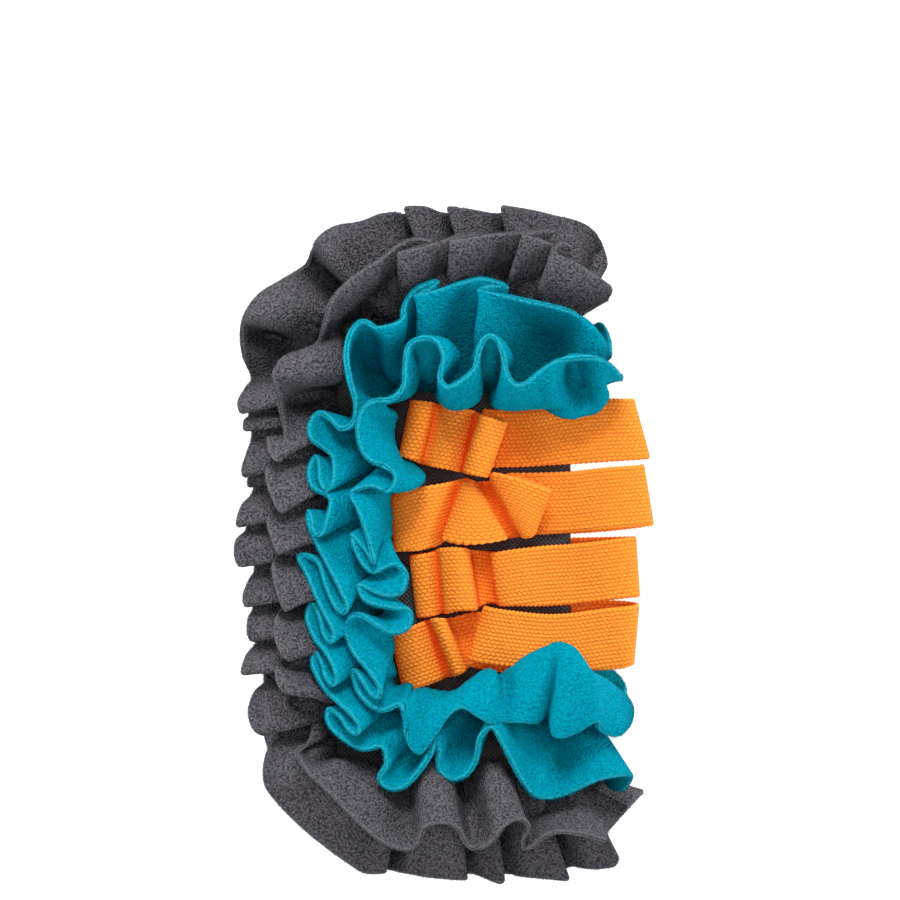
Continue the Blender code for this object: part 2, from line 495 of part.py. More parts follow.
def make_ruffle(name, seam, outer, inner, below, above, bows, colour):
    sections = []
    for side in ("top", "left", "bottom"):
        line = seam_line(seam[side], SEAM_LIFT)
        sections += sections_of(line, outer[side], inner[side], bows)
    y_below, y_above = seam["bottom"][-1][1], seam["top"][0][1]
    line = seam_round_fold(y_below, False)[1:]
    sections += sections_of(line, below["outer"], below["inner"], (0, 0))
    sections += back_sections(seam, BACK_HALVES[name])
    line = seam_round_fold(y_above, True)[:-1]
    sections += sections_of(line, above["outer"], above["inner"], (0, 0))
    return sheet_object(name + "_ruffle", sections, FLEECE, True, colour, 0.95)


def make_strap(number, rows):
    """The front's sewn loops and the end loop from the table, then plain low loops behind."""
    rows = list(rows)
    start, upper, sewn, lower = rows[-1][0], rows[-1][1], rows[-1][2], rows[-1][4]
    steps = BACK_LOOP_STEPS * BACK_LOOPS
    for i in range(1, steps + 1):
        x = start + (STRAP_END_X - start) * i / steps
        drop = BACK_LOOP_DROP * math.sin(math.pi * i / BACK_LOOP_STEPS) ** 2
        rows.append((x, upper, sewn - drop, x, lower, sewn - drop))
    grid = [[Vector(row[:3]), Vector(row[3:])] for row in rows]
    return sheet_object(f"strap_{number}", grid, WEBBING, False, (1.0, 0.31, 0.03, 1), 0.75)


def centre_on_origin(parts):
    """Moves the meshes together so that the mat's box stands centred on the origin."""
    depsgraph = bpy.context.evaluated_depsgraph_get()
    low = Vector((1e9, 1e9, 1e9))
    high = -low
    for part in parts:
        shape = part.evaluated_get(depsgraph).to_mesh()
        for vertex in shape.vertices:
            low = Vector(map(min, low, vertex.co))
            high = Vector(map(max, high, vertex.co))
    shift = -(low + high) / 2
    shift.z = -low.z
    for part in parts:
        for vertex in part.data.vertices:
            vertex.co += shift
    print("shift to the origin, mm:", [round(v / MM, 3) for v in shift])


def main():
    for leftover in list(bpy.data.objects):
        bpy.data.objects.remove(leftover)
    mat = bpy.data.collections.new("snuffle_mat")
    bpy.context.scene.collection.children.link(mat)
    parts = [
        make_base(),
        make_ruffle("grey", GREY_SEAM, GREY_OUTER, GREY_INNER, GREY_FOLD_BELOW,
                    GREY_FOLD_ABOVE, (0.3, 0.0), (0.09, 0.082, 0.095, 1)),
        make_ruffle("teal", TEAL_SEAM, TEAL_OUTER, TEAL_INNER, TEAL_FOLD_BELOW,
                    TEAL_FOLD_ABOVE, (0.2, 0.3), (0.0, 0.33, 0.45, 1)),
    ]
    parts += [make_strap(i + 1, rows) for i, rows in enumerate(STRAPS)]
    for part in parts:
        mat.objects.link(part)
    bpy.context.view_layer.update()
    centre_on_origin(parts)


main()
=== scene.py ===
# A snuffle mat for a dog: a square of mesh cloth with two pleated fleece ruffles sewn round
# it and four looped webbing straps across its middle, folded in half with the ruffles
# outside and lying on its back half. Tables are in millimetres; h is the height above the
# upper face of the base's front half.
import math

import bpy
import numpy as np
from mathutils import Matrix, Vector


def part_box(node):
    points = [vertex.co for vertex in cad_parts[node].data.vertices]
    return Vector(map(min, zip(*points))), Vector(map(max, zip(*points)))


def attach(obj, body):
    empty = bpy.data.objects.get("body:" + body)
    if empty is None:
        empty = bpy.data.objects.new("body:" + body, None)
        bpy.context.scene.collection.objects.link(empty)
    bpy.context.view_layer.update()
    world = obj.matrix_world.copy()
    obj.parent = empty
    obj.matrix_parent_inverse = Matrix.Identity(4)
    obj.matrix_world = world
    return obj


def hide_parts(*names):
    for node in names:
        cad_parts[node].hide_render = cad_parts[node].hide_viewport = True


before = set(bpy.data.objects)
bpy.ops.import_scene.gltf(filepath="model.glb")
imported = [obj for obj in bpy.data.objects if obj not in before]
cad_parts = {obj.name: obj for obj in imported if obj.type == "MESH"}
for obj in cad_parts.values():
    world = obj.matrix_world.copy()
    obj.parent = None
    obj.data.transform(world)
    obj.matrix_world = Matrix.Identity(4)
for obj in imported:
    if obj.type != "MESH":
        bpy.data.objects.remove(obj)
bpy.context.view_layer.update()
MM = 0.001


# Base: a square of coated open mesh, folded once round a soft edge at +X. Both halves lie
# flat against each other, and everything else is sewn to its outer face.
BASE_SHEET = 2.0
BASE_STEPS = 24
BASE_ROWS = 60
BASE_HALF_HEIGHT = 92.0
FRONT_TOP = 29.0
BASE_LEFT = -47.0
BACK_LEFT = -45.5
FOLD_X = 42.5
FOLD_RADIUS = 2.5
LAYER_DROP = 2 * FOLD_RADIUS + BASE_SHEET
# Net tones: the cord's own colour, the holes painted near-black as shade, the knots painted pale
# as highlights.
BASE_CORD = "#1A1516"
BASE_HOLE_SHADE = "#0B0809"
BASE_KNOT_HIGHLIGHT = "#4F4947"
KNOT_PITCH = 1.15

base_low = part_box("base")[0]
SHIFT = np.array([base_low.x / MM - BASE_LEFT, base_low.y / MM + BASE_HALF_HEIGHT, FRONT_TOP])


def linear(hex_colour):
    """An sRGB hex colour as linear red, green, blue and full alpha."""
    parts = [int(hex_colour[i:i + 2], 16) / 255 for i in (1, 3, 5)]
    return [c / 12.92 if c <= 0.04045 else ((c + 0.055) / 1.055) ** 2.4 for c in parts] + [1.0]


def add_node(tree, kind, settings=None, inputs=None):
    """Adds a node. Settings are its properties; inputs are values or sockets to link."""
    node = tree.nodes.new(kind)
    for name, value in (settings or {}).items():
        setattr(node, name, value)
    for name, value in (inputs or {}).items():
        socket = node.inputs[name]
        if isinstance(value, bpy.types.NodeSocket):
            tree.links.new(value, socket)
        else:
            socket.default_value = value
    return node


def maths(tree, operation, *values):
    """What a maths node makes of its values or sockets."""
    return add_node(tree, "ShaderNodeMath", {"operation": operation},
                    dict(enumerate(values))).outputs[0]


def new_material(name):
    """A material with only an output node, and its tree."""
    material = bpy.data.materials.new(name)
    material.use_nodes = True
    tree = material.node_tree
    tree.nodes.clear()
    return material, tree


def close_material(tree, shader):
    """Leads a shader to the surface of a material."""
    add_node(tree, "ShaderNodeOutputMaterial", {}, {"Surface": shader.outputs[0]})


def unit(vectors):
    """Vectors made one long."""
    return vectors / np.maximum(np.linalg.norm(vectors, axis=-1, keepdims=True), 1e-9)


def slopes(grid, axis, closed):
    """Differences along one axis of a grid of points."""
    if closed:
        return np.roll(grid, -1, axis) - np.roll(grid, 1, axis)
    return np.gradient(grid, axis=axis)


def thick_sheet(name, grid, thickness, closed, material, rim_steps=4):
    """A closed cloth of this thickness about a grid of points (along, across), its long free
    edges rounded. UV is in metres, along and across. The attribute rim_mm is how far the
    cloth's surface runs from the middle of the nearest long edge."""
    along, across = grid.shape[:2]
    normal = unit(np.cross(slopes(grid, 0, closed), slopes(grid, 1, False)))
    half = thickness / 2
    out_high = unit(grid[:, -1] - grid[:, -2])
    out_low = unit(grid[:, 0] - grid[:, 1])
    steps = np.linalg.norm(np.diff(grid, axis=1), axis=2)
    width = np.concatenate([np.zeros((along, 1)), np.cumsum(steps, axis=1)], axis=1)
    run = np.linalg.norm(np.diff(grid[:, across // 2], axis=0), axis=1)
    run = np.concatenate([[0], np.cumsum(run)])
    rows, rims, spots = [], [], []
    total = width[:, -1]
    arc = math.pi * half
    for side, order, end, out in ((1, range(across), -1, out_high),
                                  (-1, range(across - 1, -1, -1), 0, out_low)):
        for j in order:
            rows.append(grid[:, j] + side * normal[:, j] * half)
            rims.append(arc / 2 + np.minimum(width[:, j], total - width[:, j]))
            spots.append(width[:, j])
        for k in range(1, rim_steps):
            a = math.pi * k / rim_steps
            ring = side * normal[:, end] * math.cos(a) + out * math.sin(a)
            rows.append(grid[:, end] + ring * half)
            rims.append(np.full(along, abs(a / math.pi - 0.5) * arc))
            spots.append(width[:, end])
    points = (np.stack(rows, axis=1) + SHIFT) * MM
    around = points.shape[1]
    ahead = along if closed else along - 1
    i = np.arange(ahead)[:, None]
    k = np.arange(around)[None, :]
    j = (i + 1) % along
    m = (k + 1) % around
    quads = np.stack([i * around + k, i * around + m, j * around + m, j * around + k], axis=-1)
    faces = quads.reshape(-1, 4).tolist()
    if not closed:
        last = (along - 1) * around
        for first, flip in ((0, True), (last, False)):
            cap = [first + n for n in range(around)]
            for n in range(across - 1):
                far = 2 * across + rim_steps - 3 - n
                face = [cap[n], cap[n + 1], cap[far], cap[far + 1]]
                faces.append(face[::-1] if flip else face)
            for end in (cap[across - 1:across + rim_steps],
                        cap[2 * across + rim_steps - 2:] + cap[:1]):
                faces.append(end[::-1] if flip else end)
    mesh = bpy.data.meshes.new(name)
    mesh.from_pydata(points.reshape(-1, 3).tolist(), [], faces)
    mesh.shade_smooth()
    rim = mesh.attributes.new("rim_mm", "FLOAT", "POINT")
    rim.data.foreach_set("value", np.stack(rims, axis=1).astype(np.float32).ravel())
    u = np.repeat(run[:, None], around, axis=1).ravel() * MM
    v = np.stack(spots, axis=1).ravel() * MM
    corner = np.zeros(len(mesh.loops), dtype=np.int32)
    mesh.loops.foreach_get("vertex_index", corner)
    uv = mesh.uv_layers.new(name="cloth")
    uv.data.foreach_set("uv", np.stack([u[corner], v[corner]], axis=1).astype(np.float32).ravel())
    mesh.materials.append(material)
    piece = bpy.data.objects.new(name, mesh)
    bpy.context.scene.collection.objects.link(piece)
    return piece


# Coated polyester mesh: dark cord netting, its knots painted pale as highlights where they catch
# the light and its holes painted near-black as the shade seen through them.
base_cloth, tree = new_material("coated_mesh")
coords = add_node(tree, "ShaderNodeTexCoord")
to_knots = add_node(tree, "ShaderNodeMapping", {}, {
    "Vector": coords.outputs["UV"],
    "Scale": (1 / (KNOT_PITCH * MM), 1 / (KNOT_PITCH * MM), 1),
    "Rotation": (0, 0, math.radians(45)),
})
cell = add_node(tree, "ShaderNodeVectorMath", {"operation": "FRACTION"},
                {0: to_knots.outputs["Vector"]})
centred = add_node(tree, "ShaderNodeVectorMath", {"operation": "SUBTRACT"},
                   {0: cell.outputs[0], 1: (0.5, 0.5, 0)})
flat_cell = add_node(tree, "ShaderNodeVectorMath", {"operation": "MULTIPLY"},
                     {0: centred.outputs[0], 1: (1, 1, 0)})
from_knot = add_node(tree, "ShaderNodeVectorMath", {"operation": "LENGTH"},
                     {0: flat_cell.outputs[0]})
net = add_node(tree, "ShaderNodeValToRGB", {}, {"Fac": from_knot.outputs["Value"]})
net.color_ramp.elements[0].position = 0.10
net.color_ramp.elements[0].color = linear(BASE_KNOT_HIGHLIGHT)
net.color_ramp.elements[1].position = 0.62
net.color_ramp.elements[1].color = linear(BASE_HOLE_SHADE)
cord = net.color_ramp.elements.new(0.30)
cord.color = linear(BASE_CORD)
net_bump = add_node(tree, "ShaderNodeBump", {"invert": True}, {
    "Height": from_knot.outputs["Value"], "Strength": 0.8, "Distance": 0.0005})
shader = add_node(tree, "ShaderNodeBsdfPrincipled", {}, {
    "Base Color": net.outputs["Color"], "Roughness": 0.55, "Normal": net_bump.outputs["Normal"]})
close_material(tree, shader)

front = -BASE_SHEET / 2
back = front - 2 * FOLD_RADIUS
line = [(BASE_LEFT + 1, front)]
line += [(x, front) for x in np.linspace(BASE_LEFT + 4, FOLD_X, BASE_STEPS)]
for step in range(1, 12):
    angle = math.radians(90 - 15 * step)
    line.append((FOLD_X + FOLD_RADIUS * math.cos(angle),
                 front - FOLD_RADIUS + FOLD_RADIUS * math.sin(angle)))
line += [(x, back) for x in np.linspace(FOLD_X, BACK_LEFT + 1, BASE_STEPS)]
ys = np.linspace(BASE_HALF_HEIGHT - 1, 1 - BASE_HALF_HEIGHT, BASE_ROWS)
grid = np.array([[(x, y, h) for y in ys] for x, h in line])
base = thick_sheet("base_cloth", grid, BASE_SHEET, False, base_cloth)
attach(base, "root")
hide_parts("base")


# Ruffles: strips of anti-pill fleece 80 mm wide, pleated and sewn down along their centre
# line in a square ring, so that each half of the width stands up as a wavy frill. A row of a
# table is one turn of the free edge, in order from the fold at the top round the left side
# to the fold below: x, y, h of the edge, then of the bend if there are six numbers, or of two
# places on the way to the seam if there are nine.
GREY_FLEECE = 2.0
TEAL_FLEECE = 2.3
HALF_WIDTH = 40.0
SEAM_LIFT = 1.3
MOST_BOW = 5.0
EDGE_STEP = 1.1
FOLD_STEP = 1.3 * EDGE_STEP
BACK_STEP = 3.0
ACROSS = 25
GATHER_PITCH = 6.5
GATHER_DEPTH = 0.8
RELIEF_SPREAD = 16
MOST_RELIEF = 9.0
ROOT_ABOVE = 0.4
LEAST_GAP = 0.35
OUTWARD = {"top": (0, 1), "left": (-1, 0), "bottom": (0, -1)}
PLEAT_DRAW = 2.5
PLEAT_LIFT = 2.2
PLEAT_PITCH = 9.0
CORNER_SHARE = 0.82
CORNER_RADIUS = 7.0
GROUND = -FRONT_TOP + TEAL_FLEECE / 2
# Height above the base over which the painted shade in the ruffles' hollows fades out.
HOLLOW_SHADE_HEIGHT = 19.0
FIBRES_PER_MM = 9
FIBRE_LONG = 1.15
FIBRE_WIDE = 0.07
FIBRE_MESS = 0.45
SHORTEST_FIBRE = 0.45
LONGEST_FIBRE = 1.2
FIBRE_SEAT = 0.47
FLOOR_GAP = 0.3


def through(points, step_of):
    """Centripetal smooth curve through closed rows of points. Points has several places for
    each row, the first of which sets the spacing. Returns the places at each step."""
    lead = points[:, 0]
    count = len(points)
    found = []
    for k in range(count):
        ids = [(k - 1) % count, k, (k + 1) % count, (k + 2) % count]
        gap = np.linalg.norm(lead[ids[2]] - lead[ids[1]])
        pieces = max(1, int(round(gap / step_of[k])))
        for n in range(pieces):
            u = n / pieces
            places = []
            for c in range(points.shape[1]):
                p = points[ids, c]
                d = np.maximum(np.linalg.norm(np.diff(p, axis=0), axis=1) ** 0.5, LEAST_GAP)
                t = np.concatenate([[0], np.cumsum(d)])
                x = t[1] + u * (t[2] - t[1])
                a = [((t[i + 1] - x) * p[i] + (x - t[i]) * p[i + 1]) / (t[i + 1] - t[i])
                     for i in range(3)]
                b = [((t[i + 2] - x) * a[i] + (x - t[i]) * a[i + 1]) / (t[i + 2] - t[i])
                     for i in range(2)]
                places.append(((t[2] - x) * b[0] + (x - t[1]) * b[1]) / (t[2] - t[1]))
            found.append(places)
    return np.array(found)


def shares(points):
    """How far along a line each of its points is, from 0 to 1."""
    run = np.concatenate([[0], np.cumsum(np.linalg.norm(np.diff(points, axis=0), axis=1))])
    return run / run[-1]


def placed(rows, seam, bow, outward, root):
    """Edge, high, low and seam places for the rows of one side. A row with six numbers has the
    bend between edge and seam; one with nine has the high place and the low one. Root is how
    far out and up the cloth bulges near the seam where the row does not say, and the heights
    of the edge between which that bulge grows from none to full."""
    edge = np.array([row[:3] for row in rows], dtype=float)
    seam = np.array(seam, dtype=float)
    at_seam = shares(seam)
    where = shares(edge)
    found = []
    for row, end, t in zip(rows, edge, where):
        start = np.array([np.interp(t, at_seam, seam[:, c]) for c in range(3)])
        if len(row) == 9:
            found.append([end, np.array(row[3:6]), np.array(row[6:]), start])
            continue
        fullness = np.clip((end[2] - root[2]) / (root[3] - root[2]), 0, 1)
        push = np.array([outward[0] * root[0], outward[1] * root[0], root[1]]) * fullness
        if len(row) == 6:
            bend = np.array(row[3:], dtype=float)
            push = 0
        else:
            chord = end - start
            flat = np.hypot(chord[0], chord[1])
            spare = max(0.0, HALF_WIDTH**2 - chord @ chord) ** 0.5
            rise = min(bow * spare, MOST_BOW)
            out = np.array([chord[0], chord[1], 0]) / max(flat, 1e-6)
            normal = (np.array([0, 0, 1]) * flat - out * chord[2]) / np.linalg.norm(chord)
            bend = (start + end) / 2 + normal * rise
        low = (2 * start + 8 * bend - end) / 9
        high = (2 * end + 8 * bend - start) / 9
        found.append([end, high + push * ROOT_ABOVE, low + push, start])
    return found


def seam_round_fold(y, upward):
    """The seam line round the fold, from the front to the back, or from back to front."""
    radius = FOLD_RADIUS + BASE_SHEET / 2 + SEAM_LIFT
    line = []
    for step in range(7):
        angle = math.radians(90 - 30 * step)
        line.append((FOLD_X + radius * math.cos(angle), y,
                     -LAYER_DROP / 2 + radius * math.sin(angle)))
    return line[::-1] if upward else line


def back_rows(seam, bend_reach, bend_h, edge_reach, edge_h):
    """Rows of the hidden half: regular pleats pressed flat on the surface."""
    top, bottom, left = seam["top"][0][1], seam["bottom"][-1][1], seam["left"][0][0]
    corner = CORNER_RADIUS

    def rounded(y, angles):
        return [(left + corner + corner * math.cos(math.radians(angle)),
                 y + corner * math.sin(math.radians(angle)), angle, CORNER_SHARE)
                for angle in angles]

    steps = round((FOLD_X - left - corner) / PLEAT_PITCH)
    path = [(FOLD_X + (left + corner - FOLD_X) * i / steps, bottom, 270, 1)
            for i in range(1, steps + 1)]
    path += rounded(bottom + corner, (247, 225, 203))
    rises = round((top - bottom - 2 * corner) / PLEAT_PITCH)
    path += [(left, bottom + corner + (top - bottom - 2 * corner) * i / rises, 180, 1)
             for i in range(rises + 1)]
    path += rounded(top - corner, (157, 135, 113))
    path += [(left + corner + (FOLD_X - left - corner) * i / steps, top, 90, 1)
             for i in range(steps)]
    found = []
    sign = 1 if edge_reach > 0 else -1
    for i, (x, y, angle, share) in enumerate(path):
        out = np.array([math.cos(math.radians(angle)), math.sin(math.radians(angle)), 0])
        drawn = i % 2
        lift = drawn * PLEAT_LIFT if edge_h > GROUND else 0
        seat = np.array([x, y, 0.0])
        bend = seat + out * (bend_reach - sign * drawn) * share
        bend[2] = bend_h + lift / 2
        edge = seat + out * (edge_reach - sign * drawn * PLEAT_DRAW) * share
        edge[2] = edge_h + lift
        start = np.array([x, y, -LAYER_DROP - SEAM_LIFT])
        found.append([edge, (2 * edge + 8 * bend - start) / 9,
                      (2 * start + 8 * bend - edge) / 9, start])
    return found


def along_ring(values, spread):
    """Values smoothed along the ring with a bell of this many places."""
    reach = 3 * spread
    bell = np.exp(-0.5 * (np.arange(-reach, reach + 1) / spread) ** 2)
    bell = bell / bell.sum()
    return sum(w * np.roll(values, k - reach, axis=0) for k, w in enumerate(bell))


def frill(seam, sides, below, above, back_half, bow, root, relief, seed):
    """The fine grid of one half of a strip: closed along the ring, from seam to free edge.
    Relief deepens the folds between the edge and the seam."""
    rows, spacing = [], []
    for side in ("top", "left", "bottom"):
        line = [(x, y, SEAM_LIFT) for x, y in seam[side]]
        rows += placed(sides[side], line, bow, OUTWARD[side], root[side])
        spacing += [EDGE_STEP] * len(sides[side])
    flat = (0, 0, 0, 1)
    rows += placed(below, seam_round_fold(seam["bottom"][-1][1], False)[1:], 0, flat, flat)
    spacing += [FOLD_STEP] * len(below)
    behind = back_rows(seam, *back_half)
    rows += behind
    spacing += [BACK_STEP] * len(behind)
    rows += placed(above, seam_round_fold(seam["top"][0][1], True)[:-1], 0, flat, flat)
    spacing += [FOLD_STEP] * len(above)
    lines = through(np.array(rows), spacing)
    edge, high, low, start = (lines[:, c][:, None] for c in range(4))
    s = np.linspace(0, 1, ACROSS)[None, :, None]
    grid = (start * (1 - s) * (1 - 1.5 * s) * (1 - 3 * s) + low * 9 * s * (1 - s) * (1 - 1.5 * s)
            - high * 4.5 * s * (1 - s) * (1 - 3 * s) + edge * s * (1 - 1.5 * s) * (1 - 3 * s))
    in_front = start[:, 0, 2] > 0
    standing = edge[:, 0, 2] * in_front
    folds = np.clip(relief * (standing - along_ring(standing, RELIEF_SPREAD)),
                    -MOST_RELIEF, MOST_RELIEF) * in_front
    grid[..., 2] += folds[:, None] * np.sin(math.pi * s[..., 0]) ** 0.8
    edge = lines[:, 0]
    run = np.concatenate([[0], np.cumsum(np.linalg.norm(np.diff(edge, axis=0), axis=1))])
    ring = run[-1] + np.linalg.norm(edge[0] - edge[-1])
    waves = round(ring / GATHER_PITCH)
    phase = 2 * math.pi * waves * run / ring
    random = np.random.default_rng(seed)
    for turns in (3, 7, 13):
        phase = phase + random.uniform(0.2, 0.7) * np.sin(
            2 * math.pi * turns * run / ring + random.uniform(0, 6))
    fade = np.clip(1 - s / 0.55, 0, 1) ** 1.5 * np.clip(s / 0.08, 0, 1)
    normal = unit(np.cross(slopes(grid, 0, True), slopes(grid, 1, False)))
    grid = grid + normal * GATHER_DEPTH * np.sin(phase)[:, None, None] * fade
    grid = (np.roll(grid, 1, axis=0) + 2 * grid + np.roll(grid, -1, axis=0)) / 4
    over_base = ((np.abs(grid[..., 1]) < BASE_HALF_HEIGHT + 1) & (grid[..., 0] > BASE_LEFT - 1)
                 & (grid[..., 0] < FOLD_X) & in_front[:, None])
    grid[..., 2] = np.where(over_base, np.maximum(grid[..., 2], SEAM_LIFT), grid[..., 2])
    grid[..., 2] = np.maximum(grid[..., 2], GROUND + 0.1)
    return grid


def joined(name, pieces):
    """One object from several meshes that share a material."""
    with bpy.context.temp_override(active_object=pieces[0], selected_editable_objects=pieces):
        bpy.ops.object.join()
    pieces[0].name = name
    pieces[0].data.name = name
    return pieces[0]


def fleece_material(name, tip, root, rim_tone_and_highlight, core, bump_strength, hollow_shade):
    """Anti-pill fleece: knitted, brushed and sheared into soft nubs about 1 mm across, the creases
    between them painted darker as shade. A cut edge shows two rims with the knit between, their
    lighter tone partly brushed fibres and partly a painted highlight. Low in the front half the
    tone is darkened to a given share, painted shade in the hollows between the ruffles."""
    material, tree = new_material(name)
    coords = add_node(tree, "ShaderNodeTexCoord")
    sway = add_node(tree, "ShaderNodeTexNoise", {}, {
        "Vector": coords.outputs["Object"], "Scale": 800.0, "Detail": 1.0})
    swayed = add_node(tree, "ShaderNodeVectorMath", {"operation": "MULTIPLY_ADD"}, {
        0: sway.outputs["Color"], 1: (0.0009, 0.0009, 0.0009), 2: coords.outputs["Object"]})
    nubs = add_node(tree, "ShaderNodeTexVoronoi", {"feature": "SMOOTH_F1"}, {
        "Vector": swayed.outputs[0], "Scale": 1180.0, "Smoothness": 0.25})
    fibres = add_node(tree, "ShaderNodeTexNoise", {}, {
        "Vector": coords.outputs["Object"], "Scale": 2200.0, "Detail": 1.0})
    clumps = add_node(tree, "ShaderNodeTexNoise", {}, {
        "Vector": coords.outputs["Object"], "Scale": 260.0, "Detail": 1.0})
    pile = maths(tree, "MULTIPLY_ADD", nubs.outputs["Distance"], -1.0, 1.0)
    fibred = maths(tree, "MULTIPLY_ADD", fibres.outputs["Fac"], 0.3, pile)
    height = maths(tree, "MULTIPLY_ADD", clumps.outputs["Fac"], 0.2, fibred)
    # Painted shade: the creases between the nubs take the darker root tone, the tops of the nubs
    # the tip tone.
    spread = add_node(tree, "ShaderNodeMapRange", {}, {
        "Value": height, "From Min": 0.5, "From Max": 0.95})
    colour = add_node(tree, "ShaderNodeMix", {"data_type": "RGBA"}, {
        "Factor": spread.outputs["Result"], 6: linear(root), 7: linear(tip)})
    # The lighter rim tone is partly the brushed fibres of the cut edge and partly a painted
    # highlight where the edge catches the light.
    rim = add_node(tree, "ShaderNodeAttribute", {"attribute_name": "rim_mm"})
    band = add_node(tree, "ShaderNodeValToRGB", {}, {"Fac": rim.outputs["Fac"]})
    steps = band.color_ramp.elements
    steps[0].position = 0.15
    steps[0].color = linear(core)
    steps[1].position = 1.0
    steps[1].color = linear(rim_tone_and_highlight)
    near_rim = steps.new(0.45)
    near_rim.color = linear(rim_tone_and_highlight)
    how_near = add_node(tree, "ShaderNodeMapRange", {"interpolation_type": "SMOOTHSTEP"}, {
        "Value": rim.outputs["Fac"], "From Min": 0.8, "From Max": 2.0, "To Min": 0.7,
        "To Max": 0.0})
    final = add_node(tree, "ShaderNodeMix", {"data_type": "RGBA"}, {
        "Factor": how_near.outputs["Result"], 6: colour.outputs[2],
        7: band.outputs["Color"]})
    # Painted shade: low in the front half the colour darkens towards the bottom of the hollows
    # between the ruffles, as the shade there; the back half is left as it is.
    place = add_node(tree, "ShaderNodeSeparateXYZ", {}, {0: coords.outputs["Object"]})
    from_base = maths(tree, "SUBTRACT", place.outputs["Z"], FRONT_TOP * MM)
    lift = add_node(tree, "ShaderNodeMapRange", {"interpolation_type": "SMOOTHSTEP"}, {
        "Value": from_base, "From Min": 0.0, "From Max": HOLLOW_SHADE_HEIGHT * MM,
        "To Min": hollow_shade, "To Max": 1.0})
    behind = maths(tree, "LESS_THAN", from_base, 0.0)
    shaded_colour = add_node(tree, "ShaderNodeVectorMath", {"operation": "SCALE"}, {
        0: final.outputs[2], "Scale": maths(tree, "MAXIMUM", lift.outputs["Result"], behind)})
    bump = add_node(tree, "ShaderNodeBump", {}, {
        "Height": height, "Strength": bump_strength, "Distance": 0.0012})
    shader = add_node(tree, "ShaderNodeBsdfPrincipled", {}, {
        "Base Color": shaded_colour.outputs[0], "Roughness": 1.0, "Normal": bump.outputs["Normal"],
        "Specular IOR Level": 0.02})
    close_material(tree, shader)
    return material


def fuzz(name, grid, thickness, material, seed):
    """Fibres that stand off the cut edge of a ruffle. Geometry Nodes set a thin blade on each
    root, turned the way the fibre points; the roots are scattered round the rounded rim. A fibre
    that would reach the floor is left out."""
    random = np.random.default_rng(seed)
    edge, inside = grid[:, -1], grid[:, -2]
    ahead = np.roll(edge, -1, axis=0) - edge
    count = np.maximum(1, (np.linalg.norm(ahead, axis=1) * FIBRES_PER_MM).astype(int))
    at = np.repeat(np.arange(len(edge)), count)
    out = unit(edge - inside)[at]
    face = unit(np.cross(unit(ahead)[at], out))
    turn = random.uniform(-1.5, 1.5, len(at))[:, None]
    points_to = unit(out * np.cos(turn) + face * np.sin(turn)
                     + random.normal(0, FIBRE_MESS, (len(at), 3)))
    root = edge[at] + ahead[at] * random.uniform(0, 1, len(at))[:, None]
    root = root + (out * np.cos(turn) + face * np.sin(turn)) * thickness * FIBRE_SEAT
    tips = root[:, 2] + points_to[:, 2] * FIBRE_LONG * LONGEST_FIBRE
    clear = tips > GROUND - thickness / 2 + FLOOR_GAP
    root, points_to = root[clear], points_to[clear]
    mesh = bpy.data.meshes.new(name)
    mesh.from_pydata(((root + SHIFT) * MM).tolist(), [], [])
    pointing = mesh.attributes.new("pointing", "FLOAT_VECTOR", "POINT")
    pointing.data.foreach_set("vector", points_to.astype(np.float32).ravel())
    roots = bpy.data.objects.new(name + "_roots", mesh)
    bpy.context.scene.collection.objects.link(roots)
    tree = bpy.data.node_groups.new(name + "_fibres", "GeometryNodeTree")
    face_of = tree.interface
    face_of.new_socket("Geometry", in_out="INPUT", socket_type="NodeSocketGeometry")
    inputs = {}
    for label, kind in (("Length", "NodeSocketFloat"), ("Width", "NodeSocketFloat"),
                        ("Seed", "NodeSocketInt")):
        inputs[label] = face_of.new_socket(label, in_out="INPUT", socket_type=kind).identifier
    face_of.new_socket("Geometry", in_out="OUTPUT", socket_type="NodeSocketGeometry")
    given = add_node(tree, "NodeGroupInput")
    blade = add_node(tree, "GeometryNodeMeshCone", {"fill_type": "NONE"}, {
        "Vertices": 3, "Radius Top": 0.0, "Radius Bottom": given.outputs["Width"],
        "Depth": given.outputs["Length"]})
    way = add_node(tree, "GeometryNodeInputNamedAttribute", {"data_type": "FLOAT_VECTOR"},
                   {"Name": "pointing"})
    turned = add_node(tree, "FunctionNodeAlignRotationToVector", {"axis": "Z"},
                      {"Vector": way.outputs["Attribute"]})
    sizes = add_node(tree, "FunctionNodeRandomValue", {"data_type": "FLOAT"}, {
        2: SHORTEST_FIBRE, 3: LONGEST_FIBRE, "Seed": given.outputs["Seed"]})
    planted = add_node(tree, "GeometryNodeInstanceOnPoints", {}, {
        "Points": given.outputs["Geometry"], "Instance": blade.outputs["Mesh"],
        "Rotation": turned.outputs["Rotation"], "Scale": sizes.outputs[1]})
    real = add_node(tree, "GeometryNodeRealizeInstances", {},
                    {"Geometry": planted.outputs["Instances"]})
    dyed = add_node(tree, "GeometryNodeSetMaterial", {}, {
        "Geometry": real.outputs["Geometry"], "Material": material})
    add_node(tree, "NodeGroupOutput", {}, {"Geometry": dyed.outputs["Geometry"]})
    grow = roots.modifiers.new("fibres", "NODES")
    grow.node_group = tree
    grow[inputs["Length"]] = FIBRE_LONG * MM
    grow[inputs["Width"]] = FIBRE_WIDE * MM
    grow[inputs["Seed"]] = seed
    seen = bpy.context.evaluated_depsgraph_get()
    grown = bpy.data.meshes.new_from_object(roots.evaluated_get(seen))
    bpy.data.objects.remove(roots)
    piece = bpy.data.objects.new(name, grown)
    grown.name = name
    bpy.context.scene.collection.objects.link(piece)
    return piece


